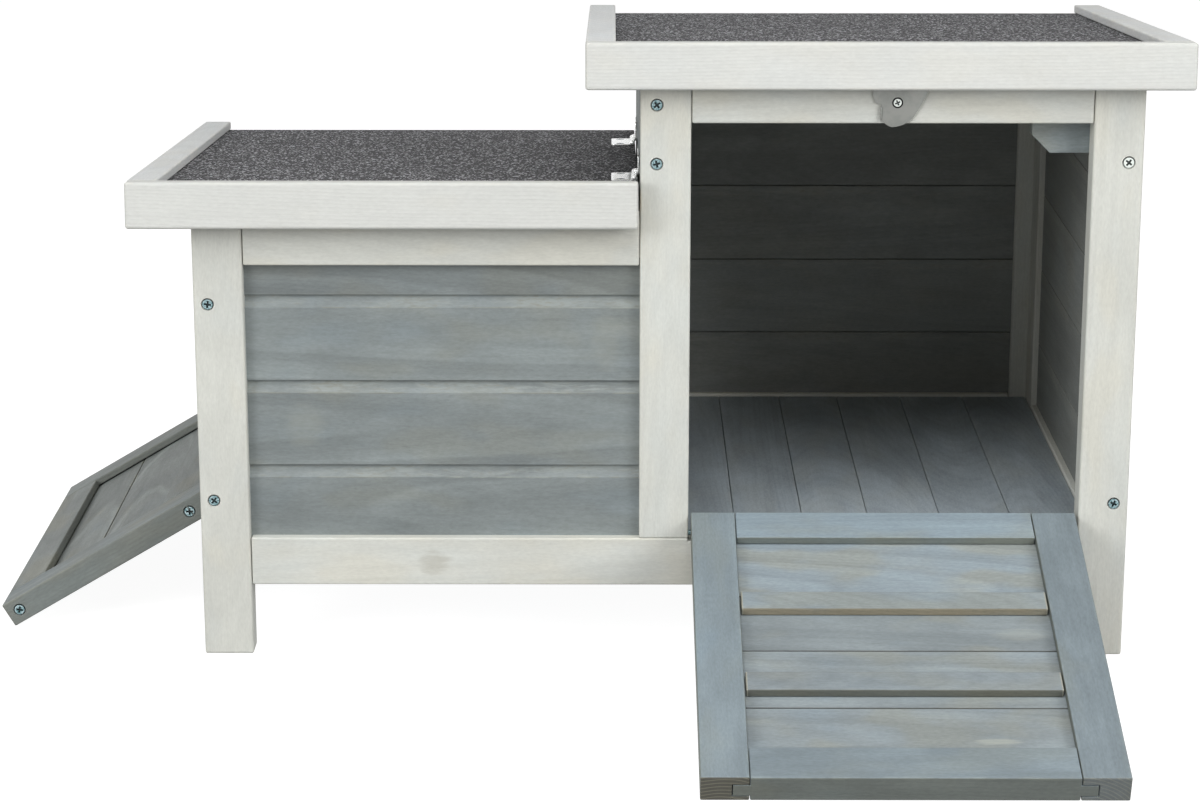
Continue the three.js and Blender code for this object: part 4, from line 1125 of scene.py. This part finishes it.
# ---------------------------------------------------------------- walls and floor
def build_walls():
    cove = (sizes().cove_height, sizes().cove_depth)
    reach = sizes().groove_reach
    bottom = RAIL_TOP - reach
    nodes = [f"front_board_{i}" for i in (1, 2, 3, 4)]
    joints = [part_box(node)[1].z - FRAME_TONGUE for node in nodes[:-1]]
    pitch = joints[1] - joints[0]
    low_bay = {"x0": LEFT + POST - reach, "x1": MIDDLE_LEFT + reach}
    tall_bay = {"x0": MIDDLE_RIGHT - reach, "x1": RIGHT - POST + reach}

    low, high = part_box(nodes[0])
    move_faces(low, high, {**low_bay, "z0": bottom, "z1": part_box("rail_front_top_low")[0].z + reach})
    separate_boards(nodes, low, high, joints, "-y", sizes().board_gap / 2, "frame", "stained_board", cove)

    def panel(node, grain, out, **faces):
        low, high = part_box(node)
        move_faces(low, high, {**faces, "z0": bottom})
        heights = [z for z in (*joints, joints[-1] + pitch) if z < high.z - NARROWEST]
        shape = Shape()
        add_boards(shape, low, high, heights, grain, out, cove)
        shape.piece(f"{node}_wood", "frame", "panel_board", [node])

    panel("back_boards_low", "x", "y", **low_bay)
    panel("back_boards_tall", "x", "y", **tall_bay)
    panel("right_boards", "y", "x", y0=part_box("stile_right_front")[1].y - reach,
          y1=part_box("stile_right_back")[0].y + reach)
    build_upper_wall(cove)


def build_upper_wall(cove, boards=3):
    """The wall above the low roof, whose boards lie along the roof's slope."""
    low, high = node_box("wall_upper_left", TALL_ROOF)
    pitch = (high.z - low.z) / boards
    shape = Shape()
    add_boards(shape, low, high, [low.z + i * pitch for i in range(1, boards)], "y", "-x", cove)
    back = TALL_ROOF.inverted()
    for corner, side in zip(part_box("wall_upper_left"), (-1, 1)):
        shape.trim(back @ Vector((0, corner.y, TALL_TOP)), back.to_3x3() @ Vector((0, side, 0)))
    shape.piece("wall_upper_left_wood", "frame", "stained_board", ["wall_upper_left"], TALL_ROOF)


def build_floor():
    low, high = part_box("floor_boards")
    joints = []
    x = high.x - FLOOR_BOARDS[0]
    while x > low.x + NARROWEST:
        joints.insert(0, x)
        x -= FLOOR_BOARDS[len(joints) % len(FLOOR_BOARDS)]
    shape = Shape()
    add_boards(shape, low, high, joints, "y", "z")
    shape.piece("floor_boards_wood", "frame", "floor_board", ["floor_boards"])


# ---------------------------------------------------------------- roofs
def build_roof(prefix, body, place, strips):
    """A boarded deck under felt, with a fascia and edge strips."""
    low, high = node_box(f"{prefix}_deck", place)
    shape = Shape()
    pitch = (high.y - low.y) / ROOF_BOARDS
    add_boards(shape, low, high, [low.y + pitch * i for i in range(1, ROOF_BOARDS)], "x", "-z")
    shape.piece(f"{prefix}_deck_wood", body, "bare_wood", [f"{prefix}_deck"], place)
    build_felt(f"{prefix}_felt", body, place)
    timber(f"{prefix}_fascia", "x", "-y", body, "fascia_white", place, ease=sizes().fascia_edge)
    for side in strips:
        timber(f"{prefix}_strip_{side}", "y", "z", body, "strip_white", place, ease=STRIP_EDGE)


def build_felt(node, body, place):
    """A sheet of felt, slightly uneven except along its rim."""
    low, high = node_box(node, place)
    shape = Shape()
    shape.block(low, high, THIN_EDGE, 2)
    sheet = [f for f in shape.bm.faces if f.calc_area() > 0.01]
    edges = [edge for edge in shape.bm.edges if any(f in sheet for f in edge.link_faces)]
    bmesh.ops.subdivide_edges(shape.bm, edges=edges, cuts=FELT_CUTS, use_grid_fill=True)
    for v in shape.bm.verts:
        inside = min(v.co.x - low.x, high.x - v.co.x, v.co.y - low.y, high.y - v.co.y)
        if v.co.z > (low.z + high.z) / 2 and inside > FELT_RIM:
            v.co.z += noise.noise(v.co * FELT_WAVES_PER_METRE) * FELT_WAVE
    shape.piece(f"{node}_sheet", body, "felt", [node], place, smooth=ROUND)


def build_roofs():
    build_roof("low_roof", "low_roof", LOW_ROOF, ["left"])
    build_roof("tall_roof", "frame", TALL_ROOF, ["left", "right"])


# ---------------------------------------------------------------- hinges
def build_hinge(index):
    """A nickel-plated butt hinge: a leaf on the lifting roof, a leaf on the tall room's wall, and screws."""
    roof_node = f"hinge_{index}_roof_leaf"
    wall_node = f"hinge_{index}_wall_leaf"
    low, high = node_box(roof_node, LOW_ROOF)
    x1, z1 = node_box(wall_node, LOW_ROOF)[1].xz
    x0 = x1 - HINGE_GAUGE
    top = low.z + HINGE_GAUGE
    axis_x, axis_z = high.x - HINGE_BARREL, high.z - HINGE_BARREL
    foot = axis_z + HINGE_BARREL + WALL_LEAF_LIFT
    knuckle = (high.y - low.y) / KNUCKLES
    middle = (low.y + high.y) / 2
    # the holes are wider than the screws, and their sunk walls get painted shade from the hinge finish, a
    # dark ring round each screw
    hole = circle(sizes().hinge_screw + HINGE_HOLE_RIM, 24)
    rows = (middle - HINGE_SCREW_ROW, middle + HINGE_SCREW_ROW)
    roof_screws = [(low.x + ROOF_LEAF_SCREWS, y, top) for y in rows]
    wall_screws = [(x0, y, foot + WALL_LEAF_SCREWS) for y in rows]

    def on_axis(y):
        return Vector((axis_x, y, axis_z))

    def add_leaf(shape, outline, axis, start, end, screws, out):
        shape.sweep(outline, axis, start, end, 0.2 * MM)
        shape.recess([Vector(centre) for centre in screws], direction(out), hole, HINGE_HOLE_DEPTH)

    leaf = Shape()
    outline = rounded(low.x, axis_x, low.y, high.y, HINGE_CORNER)
    add_leaf(leaf, outline, "z", low.z, top, roof_screws, "z")
    for i in (0, 1, 3, 4):
        start, end = low.y + i * knuckle + KNUCKLE_GAP, low.y + (i + 1) * knuckle - KNUCKLE_GAP
        leaf.rod(on_axis(start), on_axis(end), HINGE_BARREL, 0.35 * MM)
    ends = (on_axis(low.y - HINGE_PIN_END), on_axis(high.y + HINGE_PIN_END))
    leaf.rod(*ends, HINGE_BARREL * 0.5, 0.3 * MM, 16)
    leaf.piece(f"{roof_node}_plate", "low_roof", "hinge", [roof_node], LOW_ROOF, smooth=ROUND)

    plate = Shape()
    outline = rounded(low.y, high.y, foot, z1, HINGE_CORNER)
    add_leaf(plate, outline, "x", x0, x1, wall_screws, "-x")
    start, end = middle - knuckle / 2, middle + knuckle / 2
    plate.rod(on_axis(start + KNUCKLE_GAP), on_axis(end - KNUCKLE_GAP), HINGE_BARREL, 0.35 * MM)
    plate.block(on_axis(start + 0.2 * MM), Vector((x1, end - 0.2 * MM, foot + 2 * MM)), 0.3 * MM, 2)
    plate.piece(f"{wall_node}_plate", "frame", "hinge", [wall_node], LOW_ROOF, smooth=ROUND)

    small = sizes().hinge_screw
    screw_set(f"hinge_{index}_roof_screws", "low_roof", roof_screws, "z", LOW_ROOF, small)
    screw_set(f"hinge_{index}_wall_screws", "frame", wall_screws, "-x", LOW_ROOF, small)


def build_hinges():
    build_hinge(1)
    build_hinge(2)


# ---------------------------------------------------------------- ramp doors
def corners(x0, x1, z0, z1, depths):
    """Lowest and highest corner of a box between two places across a door, two heights and two depths."""
    return Vector((min(x0, x1), depths[0], z0)), Vector((max(x0, x1), depths[1], z1))


class Door:
    """A framed and boarded door that turns on two steel pins, in its own straight frame.

    `slip` is the gap at the rails' shoulders, and `slack` the one between the boards and their groove.
    """

    def __init__(self, name, place, board_node, look, slip, slack):
        self.name, self.place, self.look, self.slip = name, place, look, slip
        pivot_low, pivot_high = node_box(f"{name}_rail_pivot", place)
        free_low, free_high = node_box(f"{name}_rail_free", place)
        board_low, board_high = node_box(board_node, place)
        self.left = node_box(f"{name}_stile_left", place)[1].x
        self.right = node_box(f"{name}_stile_right", place)[0].x
        self.half = self.right + (free_high.z - free_low.z)
        self.faces = (free_low.y, free_high.y)
        self.boards = (board_low.y, board_high.y)
        self.groove = (board_low.y - slack, board_high.y + slack)
        self.pivot_rail = (pivot_low.z, pivot_high.z)
        self.free_rail = (free_low.z, free_high.z)

    def section(self, outer, mouth, floor):
        """Section of a grooved member, as points across the door and through its thickness."""
        (y0, y1), (g0, g1) = self.faces, self.groove
        return [(outer, y0), (mouth, y0), (mouth, g0), (floor, g0), (floor, g1), (mouth, g1), (mouth, y1),
                (outer, y1)]

    def stile(self, side, inner, sign, screw_ends):
        """An upright, with its groove, its two screws and its pin."""
        node = f"{self.name}_stile_{side}"
        outer = sign * self.half
        out = "-x" if sign < 0 else "x"
        z0, z1 = self.pivot_rail[0], self.free_rail[1]
        middle = sum(self.faces) / 2
        screws = [Vector((outer, middle, z)) for z in (z0 + screw_ends[0], z1 - screw_ends[1])]
        shape = Shape()
        shape.sweep(self.section(outer, inner, inner + sign * STILE_GROOVE), "z", z0, z1, DOOR_EDGE, 3)
        sink_screws(shape, screws, out)
        shape.mark(*corners(inner, outer, z0, z1, self.faces), "z", "y", node)
        shape.piece(f"{node}_wood", self.name, self.look, [node], self.place)
        screw_set(f"{node}_screws", self.name, screws, out, self.place)
        pin = Shape()
        pin.rod(Vector((outer - sign * PIN_INSIDE, 0, 0)), Vector((outer + sign * PIN_OUTSIDE, 0, 0)),
                PIN_RADIUS, 0.4 * MM)
        pin.piece(f"{self.name}_pin_{side}", self.name, "zinc", place=self.place, smooth=ROUND)

    def rail(self, end, outer, mouth):
        """A crosspiece, with its groove and the stubs that enter the stiles."""
        node = f"{self.name}_rail_{end}"
        z0, z1 = min(outer, mouth), max(outer, mouth)
        depth = math.copysign(sizes().groove_reach + BOARD_SHORT, outer - mouth)
        outline = [(y, z) for z, y in self.section(outer, mouth, mouth + depth)]
        shape = Shape()
        shape.sweep(outline, "x", self.left + self.slip, self.right - self.slip, DOOR_EDGE, 3)
        for inner, sign in ((self.left, 1), (self.right, -1)):
            tip, root = inner - sign * (STILE_GROOVE - STUB_SHORT), inner + sign * STUB_ROOT
            low, high = corners(tip, root, z0 + STUB_SHOULDER, z1 - STUB_SHOULDER, self.boards)
            shape.block(low, high, 0.4 * MM, 2)
        whole = corners(self.left - STILE_GROOVE, self.right + STILE_GROOVE, z0, z1, self.faces)
        shape.mark(*whole, "x", "y", node)
        shape.piece(f"{node}_wood", self.name, self.look, [node], self.place)

    def build(self, screw_ends):
        """Makes the door's frame and gives the corners of the panel that it holds."""
        self.stile("left", self.left, -1, screw_ends)
        self.stile("right", self.right, 1, screw_ends)
        self.rail("pivot", *self.pivot_rail)
        self.rail("free", *reversed(self.free_rail))
        reach = sizes().groove_reach
        inset = STILE_GROOVE - BOARD_SHORT
        return corners(self.left - inset, self.right + inset, self.pivot_rail[1] - reach,
                       self.free_rail[0] + reach, self.boards)

    def cleat(self, node, look):
        """A strip across the boards, for the animals' feet."""
        timber(node, "x", "y", self.name, look, self.place, ease=DOOR_EDGE, x0=self.left + CLEAT_SHORT,
               x1=self.right - CLEAT_SHORT)


def build_ramp():
    nodes = [f"ramp_board_{i}" for i in (1, 2, 3, 4)]
    place = door_place("ramp_hinge", 0)
    door = Door("ramp", place, nodes[0], "ramp_frame", 0.5 * MM, 0.5 * MM)
    low, high = door.build(RAMP_SCREWS)
    joints = [node_box(node, place)[1].z - FRAME_TONGUE for node in nodes[:-1]]
    separate_boards(nodes, low, high, joints, "y", 0.4 * MM, "ramp", "ramp_board", place=place)
    door.cleat("ramp_cleat_1", "cleat")
    door.cleat("ramp_cleat_2", "dark_cleat")


def build_side_door():
    node = "side_door_boards"
    place = door_place("side_door_hinge", -math.pi / 2)
    door = Door("side_door", place, node, "side_frame", 1.7 * MM, 1.1 * MM)
    low, high = door.build(SIDE_DOOR_SCREWS)
    shape = Shape()
    add_boards(shape, low, high, [SIDE_DOOR_JOINT], "x", "y", gap=0.5 * MM)
    shape.piece(f"{node}_wood", "side_door", "side_board", [node], place)


# ---------------------------------------------------------------- turn buttons
def build_latch(node, turn):
    """A zinc turn button on one screw."""
    place = Matrix.Translation(JOINTS[f"{node}_turn"]["pos_m"]) @ Matrix.Rotation(turn, 4, "Z")
    outline = smooth_outline(
        (-18, 11), (-18.5, 7), (-18, -1, -12.5, -1.2), (-12.5, -9), (-12, -16, -3.8, -18.6),
        (8, -17.5, 13, -9.5), (18, -2, 22.9, 9), (26, 14, 31, 15), (30, 20, 24, 20), (-6, 20),
        (-16, 18.5, -18, 11))[:-1]
    shape = Shape()
    shape.sweep(outline, "y", LATCH_FACE, LATCH_BACK, 0.35 * MM, 2)
    seat = Vector((0, LATCH_FACE, 0))
    # the seat's sunk wall gets painted shade from the plate finish, a dark ring round the screw
    shape.recess([seat], direction("-y"), circle(LATCH_SEAT), LATCH_SEAT_DEPTH, 0.8)
    rib = (Vector((-12.7, -3.0, -13.5)) * MM, Vector((-11.7, -1.0, -2.5)) * MM)
    shape.block(*rib, 0.4 * MM)
    shape.piece(f"{node}_plate", f"{node}_button", "plate", [node], place, smooth=ROUND)
    head = (0, LATCH_FACE - 0.5 * MM, 0)
    screw_set(f"{node}_screw", f"{node}_button", [head], "-y", place, LATCH_SCREW, "bright_zinc")


def build_latches():
    build_latch("latch_front", 0)
    build_latch("latch_left", -math.pi / 2)


# ---------------------------------------------------------------- stage
CAMERA_PLACE = (29.05 * MM, -2386.2 * MM, 830.8 * MM)
CAMERA_TURN = (math.radians(90 - 15.258), 0, math.radians(0.2414))
LIT_POINT = Vector((0, 0, 0.2))
FLOOR_WIDTH = 12
FLOOR_LIGHT = 1.52


def build_stage():
    scene = bpy.context.scene
    settings = scene.hutch_stage
    scene.view_settings.view_transform = "Standard"
    add_camera(scene, settings.lens)
    add_floor(settings)
    add_sky(scene, settings.sky)
    add_softbox("softbox_left", (-2.5, -2.3, 1.45), 1.7, settings.side_light)
    add_softbox("softbox_right", (2.5, -2.3, 1.45), 1.7, settings.side_light)
    add_softbox("softbox_top", (0, -1.5, 2.8), 2.0, settings.top_light)


def add_camera(scene, lens):
    data = bpy.data.cameras.new("camera")
    data.lens = lens
    data.sensor_width = 36
    data.clip_end = 30
    camera = bpy.data.objects.new("camera", data)
    camera.location = CAMERA_PLACE
    camera.rotation_euler = CAMERA_TURN
    scene.collection.objects.link(camera)
    scene.camera = camera


def add_floor(settings):
    """A matt floor that looks almost white and yet throws little light up at the hutch."""
    bpy.ops.mesh.primitive_plane_add(size=FLOOR_WIDTH)
    floor = bpy.context.object
    floor.name = "floor"
    m = Finish("pale_floor")
    seen = m.seen()
    albedo = seen * (settings.floor_seen - settings.floor_bounce) + settings.floor_bounce
    matt = m.node("ShaderNodeBsdfDiffuse", inputs={"Color": m.grey(albedo)})
    glow = m.node("ShaderNodeEmission", inputs={"Color": (1, 1, 1, 1), "Strength": FLOOR_LIGHT})
    m.end(m.node("ShaderNodeMixShader", inputs={0: seen * settings.floor_glow, 1: matt, 2: glow}))
    floor.data.materials.append(m.material)


def add_sky(scene, strength):
    """White behind the hutch, and an even, weaker light all round."""
    world = bpy.data.worlds.new("studio")
    scene.world = world
    sky = Nodes(world)
    level = sky.seen() * (1 - strength) + strength
    light = sky.node("ShaderNodeBackground", inputs={"Color": (1, 1, 1, 1), "Strength": level})
    sky.end(light, "ShaderNodeOutputWorld")


def add_softbox(name, location, size, power):
    """A large square lamp that looks at the hutch."""
    data = bpy.data.lights.new(name, "AREA")
    data.shape = "SQUARE"
    data.size = size
    data.energy = power
    lamp = bpy.data.objects.new(name, data)
    lamp.location = location
    lamp.rotation_euler = (Vector(location) - LIT_POINT).to_track_quat("Z", "Y").to_euler()
    bpy.context.scene.collection.objects.link(lamp)


# ---------------------------------------------------------------- operators
class HUTCH_OT_stage(bpy.types.Operator):
    """Make the floor, the lights and the camera"""

    bl_idname = "hutch.stage"
    bl_label = "Stage"
    bl_options = {"REGISTER", "UNDO"}

    def execute(self, context):
        build_stage()
        return {"FINISHED"}


class HUTCH_OT_frames(bpy.types.Operator):
    """Make the legs, posts, rails and stiles of the four wall frames"""

    bl_idname = "hutch.frames"
    bl_label = "Wall frames"
    bl_options = {"REGISTER", "UNDO"}

    def execute(self, context):
        build_frames()
        return {"FINISHED"}


class HUTCH_OT_walls(bpy.types.Operator):
    """Make the boards that fill the wall frames"""

    bl_idname = "hutch.walls"
    bl_label = "Wall boards"
    bl_options = {"REGISTER", "UNDO"}

    def execute(self, context):
        build_walls()
        return {"FINISHED"}


class HUTCH_OT_floor(bpy.types.Operator):
    """Make the floor boards"""

    bl_idname = "hutch.floor"
    bl_label = "Floor boards"
    bl_options = {"REGISTER", "UNDO"}

    def execute(self, context):
        build_floor()
        return {"FINISHED"}


class HUTCH_OT_roofs(bpy.types.Operator):
    """Make the two felted roofs with their fascias and strips"""

    bl_idname = "hutch.roofs"
    bl_label = "Roofs"
    bl_options = {"REGISTER", "UNDO"}

    def execute(self, context):
        build_roofs()
        return {"FINISHED"}


class HUTCH_OT_hinges(bpy.types.Operator):
    """Make the two butt hinges of the lifting roof"""

    bl_idname = "hutch.hinges"
    bl_label = "Hinges"
    bl_options = {"REGISTER", "UNDO"}

    def execute(self, context):
        build_hinges()
        return {"FINISHED"}


class HUTCH_OT_ramp(bpy.types.Operator):
    """Make the front door that opens as a ramp"""

    bl_idname = "hutch.ramp"
    bl_label = "Front ramp"
    bl_options = {"REGISTER", "UNDO"}

    def execute(self, context):
        build_ramp()
        return {"FINISHED"}


class HUTCH_OT_side_door(bpy.types.Operator):
    """Make the left door that opens as a ramp"""

    bl_idname = "hutch.side_door"
    bl_label = "Side door"
    bl_options = {"REGISTER", "UNDO"}

    def execute(self, context):
        build_side_door()
        return {"FINISHED"}


class HUTCH_OT_latches(bpy.types.Operator):
    """Make the two turn buttons"""

    bl_idname = "hutch.latches"
    bl_label = "Turn buttons"
    bl_options = {"REGISTER", "UNDO"}

    def execute(self, context):
        build_latches()
        return {"FINISHED"}


OPERATORS = [
    HUTCH_OT_stage, HUTCH_OT_frames, HUTCH_OT_walls, HUTCH_OT_floor, HUTCH_OT_roofs, HUTCH_OT_hinges,
    HUTCH_OT_ramp, HUTCH_OT_side_door, HUTCH_OT_latches,
]


class HUTCH_PT_panel(bpy.types.Panel):
    """Sizes, colours and buttons of the hutch"""

    bl_idname = "HUTCH_PT_panel"
    bl_label = "Rabbit hutch"
    bl_space_type = "VIEW_3D"
    bl_region_type = "UI"
    bl_category = "Hutch"

    def draw(self, context):
        for operator in OPERATORS:
            self.layout.operator(operator.bl_idname)
        for name in GROUPS:
            group = getattr(context.scene, name)
            column = self.layout.column()
            for size in group.__annotations__:
                column.prop(group, size)


GROUPS = {"hutch_stage": HutchStage, "hutch_sizes": HutchSizes, "hutch_colours": HutchColours}


def register():
    for name, group in GROUPS.items():
        bpy.utils.register_class(group)
        setattr(bpy.types.Scene, name, bpy.props.PointerProperty(type=group))
    for operator in OPERATORS:
        bpy.utils.register_class(operator)
    bpy.utils.register_class(HUTCH_PT_panel)


def unregister():
    bpy.utils.unregister_class(HUTCH_PT_panel)
    for operator in reversed(OPERATORS):
        bpy.utils.unregister_class(operator)
    for name, group in GROUPS.items():
        delattr(bpy.types.Scene, name)
        bpy.utils.unregister_class(group)


def main():
    register()
    for operator in OPERATORS:
        group, name = operator.bl_idname.split(".")
        getattr(getattr(bpy.ops, group), name)()


if __name__ == "__main__":
    main()
